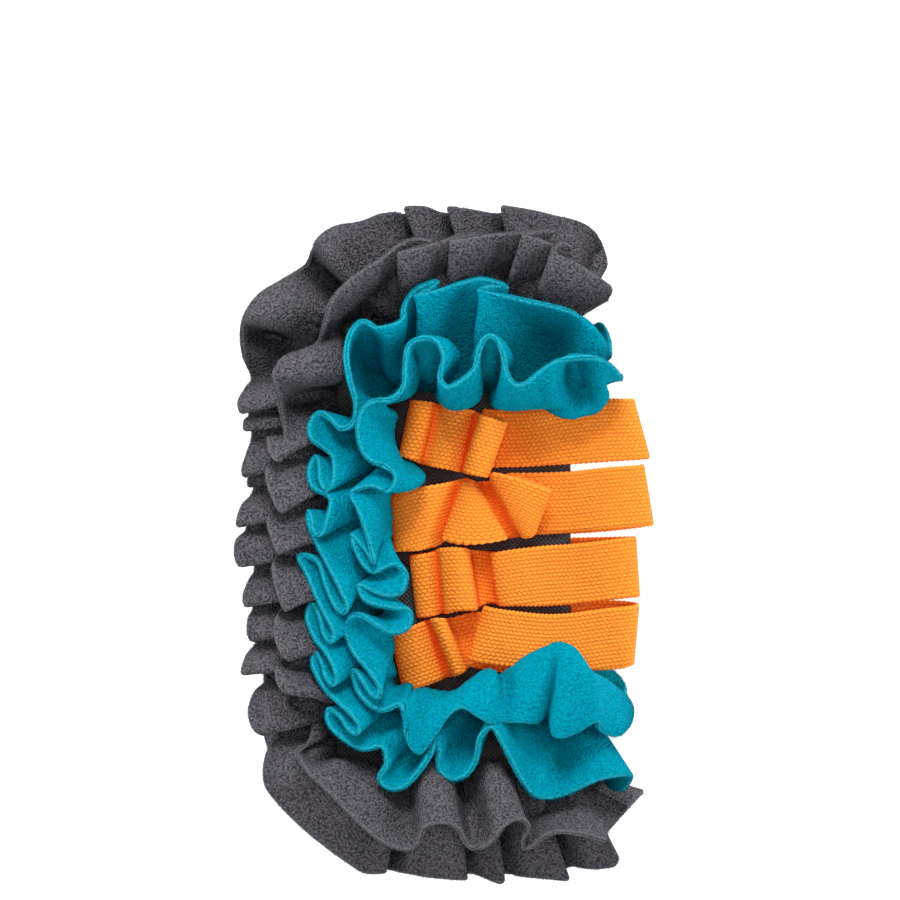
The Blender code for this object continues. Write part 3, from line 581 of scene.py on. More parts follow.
def both_halves(name, seam, halves, below, above, thickness, material, seed):
    """One ruffle's cloth and the fibres on its free edges. The outer half and the inner one each
    give their table, back half, bow, root and relief."""
    cloths, fibres = [], []
    for half, (table, behind, bow, root, relief) in zip(("outer", "inner"), halves):
        grid = frill(seam, table, below[half], above[half], behind, bow, root, relief, seed)
        fibres.append(fuzz(f"{name}_fuzz_{half}", grid, thickness, material, len(fibres)))
        if half == "inner":
            grid = grid[:, ::-1]
        cloths.append(thick_sheet(f"{name}_{half}", grid, thickness, True, material))
    return joined(f"{name}_ruffle_cloth", cloths), joined(f"{name}_fuzz", fibres)


# Grey ruffle: the outer ring. Its outer half leans out past the base, its inner half stands
# over it and leans on the teal one.
GREY_SEAM = {
    "top": [(FOLD_X, 83), (-34, 83), (-38.7, 81)],
    "left": [(-40.7, 76), (-40.7, -77)],
    "bottom": [(-38.7, -82), (-34, -84), (FOLD_X, -84)],
}
GREY_OUTER = {
    "top": [
        (50, 117, 7), (39, 120, 9), (30, 122, 9), (21, 123.3, 10),
        (24, 121.6, 3), (18.8, 120.6, 3),
        (16, 120.8, 7), (8, 122.2, 9), (1.3, 123, 10),
        (4.5, 121.6, 3), (-0.3, 120.8, 3),
        (-2.5, 121.2, 7), (-7, 123, 9), (-14.4, 123, 10),
        (-11, 121.4, 3), (-16, 120.4, 3),
        (-17.5, 121, 7), (-23, 120.5, 9), (-32, 117.5, 10, -34, 101, 11),
        (-40, 116, 11, -36, 101, 13), (-45, 113, 13, -38, 100.5, 14),
        (-48.5, 108, 5, -40.5, 97.5, 2), (-50.5, 103, 1, -43, 94.5, 1),
        (-54.5, 99.5, 8, -46.5, 91.5, 8), (-61, 95.5, 12, -50.5, 88, 14),
        (-68, 91, 13, -54.5, 84.5, 15),
    ],
    "left": [
        (-73, 84, 12, -58, 80, 13), (-74.5, 77, 9, -64, 77.5, -2, -53, 75, 2),
        (-73.5, 69, 7, -61, 71.5, 2), (-70.5, 61, 2),
        (-73, 56.5, 8), (-75.3, 52, 11), (-74.6, 48.8, 11), (-71.8, 51.5, 3), (-71.4, 47, 3),
        (-73.2, 45, 8), (-73.3, 42.3, 8), (-70.6, 44.5, 3), (-70.4, 39, 3),
        (-72.2, 33, 8), (-73.8, 27.5, 10), (-73.5, 25.3, 10), (-70.8, 28.5, 3),
        (-71.8, 23.5, 6), (-71.8, 21.6, 6), (-69.6, 23.5, 2), (-70, 19, 3),
        (-74.5, 13, 10), (-75.8, 7.3, 11), (-71.8, 10.5, 3), (-72.6, 5, 4),
        (-76.2, 1, 10), (-76.4, -4.5, 10), (-75, -7.4, 10), (-70.5, -4, 3),
        (-69.3, -9.5, 2),
        (-71.2, -13, 6), (-73.4, -19, 10), (-72.9, -22.1, 10), (-70, -18.5, 3),
        (-70, -24, 3),
        (-71.7, -27.5, 8), (-71.7, -32.5, 10), (-70.8, -34.8, 10), (-68.2, -31, 3),
        (-69, -36.5, 3),
        (-72.4, -41, 9), (-74, -46.8, 11), (-68.5, -43.5, 3), (-65.5, -50, 2),
        (-69.5, -54.5, 8), (-71.5, -61, 9), (-69.5, -67.5, 10), (-66.8, -69, 10),
        (-63, -64.5, 3), (-61.5, -71, 2),
        (-64.5, -75.5, 8), (-66, -82.5, 10),
    ],
    "bottom": [
        (-65.3, -88, 10), (-61, -94, 9), (-53, -102, 10), (-44, -109.5, 11),
        (-35, -116, 10), (-29.5, -119.3, 9), (-22.3, -119.3, 9),
        (-25.5, -118, 3), (-20.5, -118.4, 3),
        (-16, -119.2, 7), (-5, -121, 9), (7.3, -121.8, 10),
        (3.5, -120.4, 3), (9, -119.8, 3),
        (12, -120.3, 7), (20, -123.3, 9), (21.2, -122.6, 10),
        (17, -120.8, 3), (23, -119.8, 3),
        (27, -120.6, 7), (38, -121.6, 9), (44.5, -122, 10),
        (40.5, -119.6, 3), (46, -117.2, 3),
        (50, -117.6, 6), (56, -118, 7),
    ],
}
GREY_INNER = {
    "top": [
        (59.7, 94.2, 11), (52, 99.3, 19), (46.5, 102.6, 22), (39, 106.5, 25),
        (42.5, 110, 21), (46, 108, 18.5),
        (40, 108.8, 20), (34, 110.8, 23.5), (28.3, 112.4, 27),
        (33.5, 114, 22), (39, 114.4, 18.5),
        (28, 113.6, 22), (17, 112.6, 25), (2.2, 110.2, 27),
        (8, 112.6, 22), (13.8, 113.2, 19),
        (6.4, 112.8, 21), (-6.8, 108.4, 24.5), (-16.8, 106, 25),
        (-10, 108.3, 22), (-4, 110.2, 19.5),
        (-11, 111.4, 20), (-17.3, 108.8, 22), (-22.8, 104.5, 23.5), (-29.7, 100, 26),
        (-35, 96, 28), (-41.4, 88.5, 28, -38, 84.5, 12),
    ],
    "left": [
        (-44.3, 79, 24, -40, 79, 9), (-46.5, 73.5, 17, -38.5, 76, 14),
        (-53, 70.2, 23, -39.5, 73, 20), (-59, 67.5, 31, -38.5, 67.5, 21),
        (-62, 62.5, 33, -39.5, 60.5, 18), (-61.5, 58.5, 31, -48, 57, 8),
        (-60, 50, 24, -51, 51, 7), (-58.3, 43, 22), (-58.6, 36.5, 26),
        (-60.5, 31, 31), (-63.3, 34, 28), (-64.3, 39, 22), (-63.6, 32.5, 17),
        (-64.8, 26.5, 26), (-62.9, 19, 30), (-59.2, 12.4, 30),
        (-57.2, 16.5, 27), (-58.2, 21.5, 20), (-61.5, 14, 16),
        (-64.2, 9, 25), (-62.8, 3.5, 28), (-60, -2.6, 29),
        (-57.8, 1.5, 26), (-58.6, 6, 19), (-60.5, -2, 15),
        (-62.4, -8, 24), (-61, -15, 28), (-57.6, -23.4, 28),
        (-55.4, -18.5, 26), (-56.3, -13.5, 19), (-58.5, -21.5, 14),
        (-61.4, -28, 25), (-60.6, -36, 28), (-56.8, -41.4, 27),
        (-54.4, -37, 25), (-55.4, -31, 18), (-58, -39, 14),
        (-61, -45.5, 25), (-60.3, -50.5, 28), (-57.3, -53.4, 28),
        (-55, -51, 22), (-57, -54.5, 17, -51, -56, 3, -45, -56.5, 2),
        (-58, -58.5, 22, -51, -59, 4, -45, -59, 2),
        (-53, -61, 17, -48, -62.5, 13, -43.5, -62, 5),
        (-48.5, -66, 14, -45, -66.5, 16, -42.5, -66, 8),
        (-49, -71, 15, -45, -70.5, 16, -42.5, -70, 8),
        (-54.3, -75.5, 20, -48, -73.5, 8, -43, -73.5, 3),
        (-53, -78, 22, -46.5, -78, 5, -43, -77.5, 2),
    ],
    "bottom": [
        (-49, -83, 28), (-42.5, -89, 29), (-36, -95.5, 29), (-29.5, -102, 29),
        (-22.5, -107.5, 28), (-16.5, -110, 26), (-12, -110, 25), (-9.3, -106.5, 26),
        (-7.5, -101.8, 31), (-3, -100.2, 33), (1.5, -100.5, 33), (5, -103, 31),
        (6.8, -107, 28), (10, -110, 25), (14.5, -109, 26), (18, -105.8, 29),
        (20.5, -102, 32), (24, -99.3, 33), (28, -99.3, 32), (30.3, -102.5, 29),
        (28.5, -106, 26), (28.7, -110, 23),
        (32.5, -108.8, 25, 31, -101, 13, 31, -92, 4),
        (36, -105.5, 28, 34.5, -100, 14, 34, -92, 4),
        (41, -103.8, 29, 39.5, -99, 14, 39, -92, 4),
        (51.7, -105.2, 28, 48, -100, 14, 46, -92, 4),
        (57.5, -107, 24, 53, -101, 12, 49, -92, 4),
    ],
}
GREY_FOLD_BELOW = {
    "outer": [(62, -117, 2), (62.3, -114, -5), (56, -112, -14)],
    "inner": [(58.3, -105, 13), (63, -100, 3), (72, -91, -8), (64, -98, -19),
              (54, -110, -25)],
}
GREY_FOLD_ABOVE = {
    "outer": [(52, 110, -14), (57.5, 101, -9), (58.8, 103, -5), (56, 112, 1)],
    "inner": [(50, 105, -26), (55, 93, -18), (58, 90, -8), (59.5, 91, 2)],
}
GREY_OUTER_ROOT = dict.fromkeys(OUTWARD, (0, 4, 4, 9))
GREY_INNER_ROOT = {"top": (1.5, -4, 0, 1), "left": (-4, 0, 22, 28), "bottom": (-7, 3, 25, 31)}
# Tones: tip, crease (painted shade), rim with a painted highlight, rim core; then bump strength
# and how dark the painted shade low in the hollows gets.
grey_fleece = fleece_material("grey_fleece", "#706D74", "#423F46", "#77747B", "#504E54", 1.0, 0.55)
grey, grey_fuzz = both_halves("grey", GREY_SEAM, (
    (GREY_OUTER, (16.0, -10.5, 26.0, -16.0), 0.2, GREY_OUTER_ROOT, 1.1),
    (GREY_INNER, (16.0, GROUND, 26.0, GROUND), 0.15, GREY_INNER_ROOT, 1.0),
), GREY_FOLD_BELOW, GREY_FOLD_ABOVE, GREY_FLEECE, grey_fleece, 5)
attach(grey, "root")
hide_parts("grey_ruffle")
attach(grey_fuzz, "root")


# Teal ruffle: the inner ring, shorter and more crowded. Its inner half leans over the
# straps, its outer half over the grey one.
TEAL_SEAM = {
    "top": [(FOLD_X, 57), (-17, 57), (-21, 55.5)],
    "left": [(-22.5, 52), (-22.5, -51)],
    "bottom": [(-21, -55), (-17, -56.5), (14, -54.5), (FOLD_X, -50)],
}
TEAL_OUTER = {
    "top": [
        (57, 75, 11, 55, 68, 9), (50, 82.6, 16, 51, 71, 11),
        (44, 85.5, 18, 43, 73.5, 3, 41, 65, 1.5),
        (30.5, 88.7, 19, 31, 77.5, 6, 30, 66, 1.5),
        (20, 91, 20, 21, 80, 12, 20, 67, 5),
        (12.3, 92.6, 21, 12.3, 81.5, 18, 12, 69, 11),
        (17.5, 94.5, 18.5, 14.5, 82, 9, 13.5, 70, 4),
        (22.5, 94, 17, 17, 80, 6, 15, 69, 2),
        (14, 96.8, 19.5, 11, 80, 6, 10, 69, 2),
        (6.5, 95.6, 18.5, 5.5, 81, 8, 5.5, 69, 2.5),
        (-2, 92.6, 20, -1.5, 81.5, 13, -1, 69, 5),
        (-10.8, 90.5, 21, -9.5, 80, 17, -8, 69, 10),
        (-5.5, 93.5, 18.5, -7, 81.5, 10, -6.5, 69.5, 5),
        (-3, 96, 18.5, -6, 81, 7, -7, 69, 3),
        (-11, 93, 17.5, -11.5, 80.5, 8, -12, 69, 3),
        (-15, 87, 19, -15, 77, 13, -15, 68, 7),
        (-16, 81.5, 23, -17, 74, 18, -17.5, 66, 10),
        (-24.5, 79, 26, -21.5, 71, 20, -20.5, 63.5, 11),
        (-30, 81.5, 26, -25.5, 73.5, 14, -23.5, 65, 5),
        (-34, 78, 28, -31.5, 71, 11, -27, 64, 2),
        (-36, 69, 32, -33.5, 66, 13, -28, 60, 2),
    ],
    "left": [
        (-34.5, 59.5, 33, -33, 57, 16, -28, 54, 3),
        (-32.3, 51, 32), (-33.5, 44.5, 31), (-37.5, 42.5, 30),
        (-42, 46.5, 26), (-46, 48.3, 25), (-49, 44.5, 26), (-48.5, 39, 28),
        (-41, 33, 27),
        (-40.2, 28.5, 29), (-40.8, 23, 29.5), (-43, 20.4, 30), (-45.2, 23.2, 28),
        (-45.6, 28, 26), (-46.9, 32.5, 24.5), (-49.2, 28.5, 25), (-48.3, 21.5, 27),
        (-41.5, 17.3, 29),
        (-43, 9.5, 31), (-43.9, 6, 31), (-46.1, 3.8, 31), (-48, 6.2, 29),
        (-48.2, 9, 27), (-49.6, 12.5, 25), (-49.5, 8, 26), (-46.5, 1, 28),
        (-41.5, -8.5, 30), (-37.8, -16, 31), (-35.6, -21.5, 32), (-36.9, -24.2, 32),
        (-39.6, -22.2, 30.5), (-43.2, -14.5, 28), (-46.5, -5.5, 26), (-53, -3.8, 25.5),
        (-49.8, -11, 26),
        (-45, -22, 28),
        (-41.4, -28.5, 31), (-40.2, -32, 31), (-41.5, -34.8, 31), (-44, -32, 29),
        (-45.6, -25.5, 26), (-48.5, -21.3, 24), (-50, -26, 25), (-47, -34, 27),
        (-43.5, -38, 29), (-40.6, -43, 31), (-39.3, -47.8, 31),
        (-40.7, -50.5, 31), (-43.3, -47.5, 29), (-45, -42, 26), (-47.8, -38.3, 24),
        (-48, -43.5, 25), (-43.5, -52, 27),
        (-38.5, -56.8, 29),
    ],
    "bottom": [
        (-34, -61, 31), (-31, -65.2, 31), (-32.3, -68.2, 31), (-35.4, -66, 29),
        (-38, -62, 27), (-42.3, -59.5, 24.5), (-42.5, -64, 25), (-37, -70, 26),
        (-29.5, -74, 26), (-22.8, -72.7, 27), (-21.3, -79.5, 26), (-24, -84.5, 24),
        (-20.5, -88.3, 23), (-15, -87.5, 24), (-10, -82.5, 25),
        (-5, -74.5, 28), (-3.8, -69.5, 29), (-2.3, -74, 27), (-2.5, -80.5, 25),
        (2, -85, 24), (7.5, -83.3, 24), (11, -78, 26),
        (13, -68.8, 31), (17, -65.5, 32), (20.5, -71, 31), (27, -83.6, 26),
        (32, -90.5, 23), (37, -91.6, 22), (43, -90.5, 21), (55, -85, 21),
        (61, -83.8, 18),
    ],
}
TEAL_INNER = {
    "top": [
        (63.5, 61.5, 17), (58.8, 66, 26, 58, 57.5, 19, 57.5, 53.5, 10),
        (54, 68, 30, 54.5, 57.5, 19, 54.5, 49, 11),
        (50, 68.3, 32, 50, 61.5, 12, 50.5, 48.6, 14),
        (46, 68, 33, 46, 61.5, 12, 46, 47.9, 14),
        (42.5, 67.3, 34, 42, 57, 18, 42, 48.9, 14),
        (39, 66, 35, 39, 53.3, 26, 38.5, 50.8, 12), (33, 61.8, 35, 34, 50.8, 19),
        (28.5, 58.3, 35, 29, 50.3, 19), (25, 58.3, 35, 24, 50, 19),
        (22, 63, 35, 18, 51.8, 19), (20.5, 71, 34, 23.5, 65, 20),
        (17.5, 75.8, 33, 19, 70, 19), (14.5, 75.3, 33, 12.5, 70, 19),
        (12.2, 71, 34, 9, 64.5, 20), (10.5, 64, 35, 12, 54, 19),
        (4, 58.5, 35, 6, 50.3, 19), (0.5, 57.3, 35, 1, 50.6, 19),
        (-2, 60.5, 35, -2.5, 55, 19), (-0.5, 68.5, 34, 4.5, 66.5, 20),
        (-3, 74, 33, 0, 71.5, 20), (-7.5, 75.3, 33, -7, 70, 19),
        (-13, 73, 32, -11.5, 67, 18), (-14.5, 65, 33, -10.5, 61, 18),
        (-15, 58, 34, -13, 55, 18),
    ],
    "left": [
        (-19, 53.3, 34), (-27, 52, 34), (-31, 47, 33), (-31, 37.5, 33),
        (-27.5, 31.5, 33), (-21, 28.5, 33, -14.5, 26.5, 21),
        (-17.8, 25, 32, -8, 25.2, 15), (-20.5, 20, 32, -13, 22.8, 20),
        (-26.5, 22, 32), (-34, 19, 29),
        (-31.5, 13.5, 32), (-28, 3, 34), (-26, -6, 34),
        (-29.5, -0.5, 31), (-33.8, 4, 28), (-31.5, -3.5, 30), (-26.5, -9.3, 31),
        (-19, -6.5, 32), (-14.5, -10, 32), (-16, -16.5, 32), (-21.5, -17.8, 32),
        (-31.5, -14.3, 29),
        (-29, -19.5, 31), (-20, -22.2, 32), (-13.5, -23.5, 32), (-13, -28.5, 32),
        (-19, -31.5, 32), (-32, -25, 30),
        (-36.2, -28.5, 28), (-34, -37, 29), (-27, -46, 32), (-23.6, -52, 33.5),
        (-24.6, -55, 33.5), (-27.4, -53, 32), (-30.5, -48, 30), (-33.5, -45.3, 28),
        (-32.5, -51, 28),
    ],
    "bottom": [
        (-27.5, -57.5, 30), (-22.5, -59.7, 30), (-16.5, -57.5, 31),
        (-14.5, -63, 32, -15, -56, 26), (-13.8, -71, 30, -12, -55.3, 26),
        (-9.5, -75, 28, -9, -55.6, 25), (-3.5, -68, 31, -4, -56, 25),
        (1.5, -60.5, 33, 1, -55.3, 25), (6, -58, 34, 6, -52.5, 24),
        (11.5, -61, 34, 11.5, -48.5, 25), (16.5, -63.7, 33, 17, -46, 26),
        (19.8, -63.3, 30, 20, -49.3, 21), (28, -63.3, 31, 27.5, -44.7, 25),
        (33.5, -63.5, 29, 35, -39.3, 29), (37.5, -58, 25, 39, -37.3, 28),
        (40, -68.7, 32, 42, -36.8, 30), (47, -67.3, 32, 46.5, -38, 30),
        (54.5, -63, 30, 51, -44.5, 28),
        (56, -66.5, 22, 55, -48.5, 22),
    ],
}
TEAL_FOLD_BELOW = {
    "outer": [(67.7, -84.3, 11), (64.5, -89.5, 6), (60, -88, 1), (58, -80, -12),
              (52, -77, -24)],
    "inner": [(62.5, -69, 15, 60.5, -51.5, 14), (67.5, -64.5, 7, 64.5, -55, 3),
              (66.3, -56, -1, 60, -53.5, -6), (64, -50, -14), (52, -40, -26)],
}
TEAL_FOLD_ABOVE = {
    "outer": [(52, 79, -24), (57.5, 80.5, -12), (60.2, 75, -7), (60, 69, -1)],
    "inner": [(50, 45, -26), (57, 58, -16), (61, 60.5, -6), (63.2, 61, 6)],
}
TEAL_OUTER_ROOT = dict.fromkeys(OUTWARD, (1, 1, 0, 1))
TEAL_INNER_ROOT = dict.fromkeys(OUTWARD, (-2, 0, 0, 1))
# Tones: tip, crease (painted shade), rim with a painted highlight, rim core; then bump strength
# and how dark the painted shade low in the hollows gets.
teal_fleece = fleece_material("teal_fleece", "#009AB3", "#007E94", "#28AABD", "#007C90", 0.7, 0.35)
teal, teal_fuzz = both_halves("teal", TEAL_SEAM, (
    (TEAL_OUTER, (13.0, GROUND, 24.0, GROUND), 0.12, TEAL_OUTER_ROOT, 0.5),
    (TEAL_INNER, (-3.0, GROUND, -23.0, GROUND), 0.3, TEAL_INNER_ROOT, 0.0),
), TEAL_FOLD_BELOW, TEAL_FOLD_ABOVE, TEAL_FLEECE, teal_fleece, 9)
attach(teal, "root")
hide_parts("teal_ruffle")
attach(teal_fuzz, "root")


# Straps: four lengths of soft acrylic webbing, 25 mm wide. Each is sewn across at intervals
# so that it stands in loops, and runs past the fold as a long loop to the back. Columns: x,
# y, h of the upper selvage, then of the lower one.
WEBBING = 1.6
STRAP_STEP = 0.5
STRAP_ACROSS = 26
STRAP_END_X = -14.0
BACK_LOOP_DROP = 6.5
BACK_LOOPS = 3
LOOP_STEPS = 8
KNUCKLE_LONG = 1.75
KNUCKLE_HIGH = 1.42
BREAK_DEPTH = 0.6
ROW_DEPTH = 2.6
SCALLOP = 0.2
SELVAGE_INSET = 0.55
STRAP_RUNS = (0.25, 0.265, 0.22, 0.275)
STRAPS = [
    [
        (-10, 52.4, 1.2, -14.5, 32, 1.2),
        (-12.2, 52.8, 5, -16.4, 32.7, 5), (-10.8, 52.7, 9.2, -15.4, 32.3, 9.2),
        (-6.5, 52.2, 9.5, -11.5, 30.9, 9.5), (-4.2, 51.8, 5.5, -9.4, 30.1, 5.5),
        (-4.4, 51.7, 1.2, -9.6, 30, 1.2),
        (-2, 51.3, 5.5, -7, 29.3, 5.5), (0.5, 51, 9.5, -4.5, 28.7, 9.5),
        (5.5, 50, 11, 0, 27.9, 11), (9.3, 49.2, 8, 3.8, 27.2, 8),
        (10.8, 48.7, 1.2, 5.2, 26.9, 1.2),
        (13.2, 47.6, 7, 7.4, 26.5, 7), (12.9, 47.4, 12.5, 7, 26.5, 12.5),
        (15, 46.7, 15.5, 8.8, 26, 15.5), (19.5, 45.4, 15.5, 12.8, 25.2, 15.5),
        (22, 44.7, 12.5, 15, 25, 12.5), (20.8, 46, 8, 14, 25.4, 8),
        (17, 47.6, 4.2, 10.8, 26.4, 4.2),
        (14.6, 49.4, 1.2, 8.8, 27.6, 1.2),
        (22, 49.2, 1.4, 17, 28.4, 1.4), (33, 49.8, 3, 30, 28.8, 3),
        (45, 52, 1.8, 45.5, 29.8, 1.8), (57, 53.3, 2.2, 60, 30.9, 2.2),
        (66, 53.4, 1.2, 71.5, 31.7, 1.2), (68.4, 53.4, -1.8, 74.2, 32, -1.8),
        (68.4, 53, -6.8, 74.2, 31.6, -6.8), (66, 52.8, -9.6, 71.5, 31.3, -9.6),
        (57, 52.6, -10.2, 60, 30.6, -10.2), (45, 51.6, -8.3, 45, 29.6, -8.3),
    ],
    [
        (-15.5, 19, 1.2, -14.5, -2, 1.2),
        (-19.4, 18.2, 4.5, -18.4, -2.2, 4.5), (-17.5, 18.8, 8.6, -16.6, -2.2, 8.6),
        (-10, 20.8, 10.5, -9.5, -1.9, 10.5), (-3, 22, 10, -6, -1, 9.5),
        (2.5, 23, 6, -3.5, -0.3, 5),
        (5, 23.6, 1.2, -1.5, 0.8, 1.2),
        (7.2, 24, 4.5, -0.8, 3, 7.5), (7.6, 24.2, 7.5, -0.5, 1.8, 12),
        (8.5, 24, 9, 5, 0.4, 14.5), (9.6, 23.5, 9, 13.5, 0.6, 14.5),
        (10.7, 22.8, 7.5, 21.5, 2, 12), (11.2, 22.6, 4.5, 22.5, 2.6, 6.5),
        (13.5, 23, 1.2, 24.5, 2.6, 1.2),
        (16.3, 23.2, 5, 27.5, 3.2, 4.5), (17.2, 26.2, 11, 28.6, 2.8, 9.5),
        (24, 25, 15, 29.8, 2.6, 11.5), (32, 22.4, 15.5, 31.2, 3, 11.5),
        (38, 20.2, 13, 32.4, 4.2, 9), (34, 22.5, 8, 31.5, 4.6, 5.5),
        (25.5, 25.5, 3.8, 30, 4, 3.2),
        (23, 26, 1.2, 29, 3.8, 1.2),
        (34, 26.2, 1.2, 36, 3.9, 1.2), (45, 26.6, 1.8, 45.5, 4.5, 1.8),
        (58, 28, 2.2, 60, 5.8, 2.2), (69.5, 28.9, 1.2, 73, 7.1, 1.2),
        (72, 29.1, -1.8, 75.6, 7.3, -1.8), (72, 29, -6.8, 75.6, 7, -6.8),
        (69.5, 28.4, -9.6, 73, 6.5, -9.6), (58, 27.4, -10.2, 60, 5, -10.2),
        (45, 26, -8.3, 45, 4, -8.3),
    ],
    [
        (-9, -3.2, 1.2, -6.5, -26, 1.2),
        (-12.6, -3.9, 4.5, -9.8, -26.5, 4.5), (-11, -3.8, 8.2, -8.2, -26.5, 8.2),
        (-7, -3.2, 9, -4.5, -25.8, 9), (-4.6, -2.7, 6, -2.4, -25.1, 6),
        (-4.4, -2.6, 1.2, -2.2, -25, 1.2),
        (-2.2, -1.6, 7, 0, -24.9, 7), (-1.2, -1.3, 11.3, 1, -24.8, 11.3),
        (3, -1, 13.5, 5.5, -23.9, 13.5), (6.4, -1.2, 12, 10.3, -23.9, 12),
        (8, -1.8, 6.5, 11.5, -23.2, 6.5), (9.3, -2.2, 1.2, 12.6, -22.6, 1.2),
        (13, -2.4, 1.2, 15.8, -21.4, 1.2), (16.3, -2.8, 4.5, 19, -21.6, 4.5),
        (17.5, -2.9, 9, 20.5, -22.2, 9), (26, -1.7, 9.5, 28, -22.2, 9.5),
        (36, -0.6, 6.5, 37, -22.3, 6.5), (46, 0, 3, 47, -21.7, 3),
        (58, 1.3, 2.4, 59, -20.3, 2.4), (66.5, 2.4, 1.2, 68, -19.3, 1.2),
        (69, 2.6, -1.8, 70.4, -19.1, -1.8), (69, 2.6, -6.8, 70.4, -18.9, -6.8),
        (66.5, 2.6, -9.6, 68, -18.8, -9.6), (58, 2.4, -10.2, 59, -19.2, -10.2),
        (45, 2.2, -8.3, 45, -19.8, -8.3),
    ],
    [
        (-16, -31.3, 1.2, -11, -52.8, 1.2),
        (-19.8, -32.4, 4.5, -14.8, -53.6, 4.5), (-18, -31.8, 8.6, -13, -53.3, 8.6),
        (-12, -29.7, 10, -6.5, -51.2, 10), (-8.4, -28.4, 7.5, -2.2, -49.6, 7.5),
        (-7.4, -28, 1.2, 0.2, -48.6, 1.2),
        (-5.2, -27.4, 6.5, 3, -47.9, 6.5), (-4.8, -27.2, 11.5, 3.4, -47.8, 11.5),
        (-3, -26.8, 13.5, 5.2, -47.2, 13.5), (-1, -27.1, 11.5, 7, -46.2, 11.5),
        (-0.5, -27.4, 6, 7.4, -45.7, 6),
        (1.5, -27.2, 1.2, 9, -44.7, 1.2), (11, -25, 1.2, 12, -45.4, 1.2),
        (24, -26.5, 1.2, 24, -47, 1.2), (35, -27, 1.2, 35, -47.2, 1.2),
        (38.5, -26.5, 2.8, 38.5, -46, 2.8), (34, -26, 4.2, 33, -44.8, 4.2),
        (20, -24.3, 5, 16, -42.8, 5.2), (14.6, -22.6, 8.5, 8.8, -42.2, 8.7),
        (17, -23.2, 11.2, 12, -43, 11.2), (26, -24.5, 10, 23, -44.4, 10),
        (37, -25.6, 6.5, 36, -45.3, 6.5), (46, -25.3, 3.2, 46, -45.8, 3.2),
        (58, -23.7, 2.4, 57.5, -45.9, 2.4), (67.5, -22.7, 1.2, 65.5, -45.2, 1.2),
        (70.2, -22.3, -1.8, 68.3, -44.2, -1.8), (70.2, -21.8, -6.8, 68.3, -44, -6.8),
        (67.5, -21.3, -9.6, 65.5, -44, -9.6), (58, -20.9, -10.2, 57.5, -44, -10.2),
        (45, -22, -8.3, 45, -44.6, -8.3),
    ],
]

# Heavy woven acrylic: rows of plump knuckles along the strap, each row half a knuckle on from the
# next, the creases painted dark as shade. A faint red glow over the whole strap is painted light,
# standing for light that comes through the cloth inside a loop.
webbing, tree = new_material("woven_webbing")
coords = add_node(tree, "ShaderNodeTexCoord")
parts = add_node(tree, "ShaderNodeSeparateXYZ", {}, {0: coords.outputs["UV"]})
mounds = []
for offset in (0.0, 0.5):
    distances = []
    for axis, pitch in (("X", KNUCKLE_LONG), ("Y", 2 * KNUCKLE_HIGH)):
        places = maths(tree, "MULTIPLY_ADD", parts.outputs[axis], 1 / (pitch * MM), offset)
        off = maths(tree, "SUBTRACT", places, maths(tree, "ROUND", places))
        distances.append(maths(tree, "POWER", maths(tree, "ABSOLUTE", off), 2.0))
    along = maths(tree, "MULTIPLY_ADD", distances[0], -4 * BREAK_DEPTH, 1.0)
    mounds.append(maths(tree, "MULTIPLY_ADD", distances[1], -4 * ROW_DEPTH, along))
knuckles = maths(tree, "MAXIMUM", *mounds)
threads = add_node(tree, "ShaderNodeTexNoise", {}, {
    "Vector": coords.outputs["Object"], "Scale": 1500.0, "Detail": 2.0})
rough_height = maths(tree, "MULTIPLY_ADD", threads.outputs["Fac"], 0.5, knuckles)
scaled = add_node(tree, "ShaderNodeMapRange", {}, {
    "Value": rough_height, "From Min": 0.2, "From Max": 1.25})
# Painted shade: the low places between the knuckles take the dark red-brown tone, the knuckle tops
# the bright orange.
tones = add_node(tree, "ShaderNodeValToRGB", {}, {"Fac": scaled.outputs["Result"]})
tones.color_ramp.elements[0].position = 0.0
tones.color_ramp.elements[0].color = linear("#A83A08")
tones.color_ramp.elements[1].position = 1.0
tones.color_ramp.elements[1].color = linear("#F79C36")
middle = tones.color_ramp.elements.new(0.45)
middle.color = linear("#EE8A28")
bump = add_node(tree, "ShaderNodeBump", {}, {
    "Height": scaled.outputs["Result"], "Strength": 0.75, "Distance": 0.0007})
# Painted glow: a faint red emission on every strap stands for light coming through the webbing and
# reddening its shaded recesses.
shader = add_node(tree, "ShaderNodeBsdfPrincipled", {}, {
    "Base Color": tones.outputs["Color"], "Roughness": 0.8, "Normal": bump.outputs["Normal"],
    "Specular IOR Level": 0.15, "Emission Color": linear("#FF2408"), "Emission Strength": 0.12})
close_material(tree, shader)

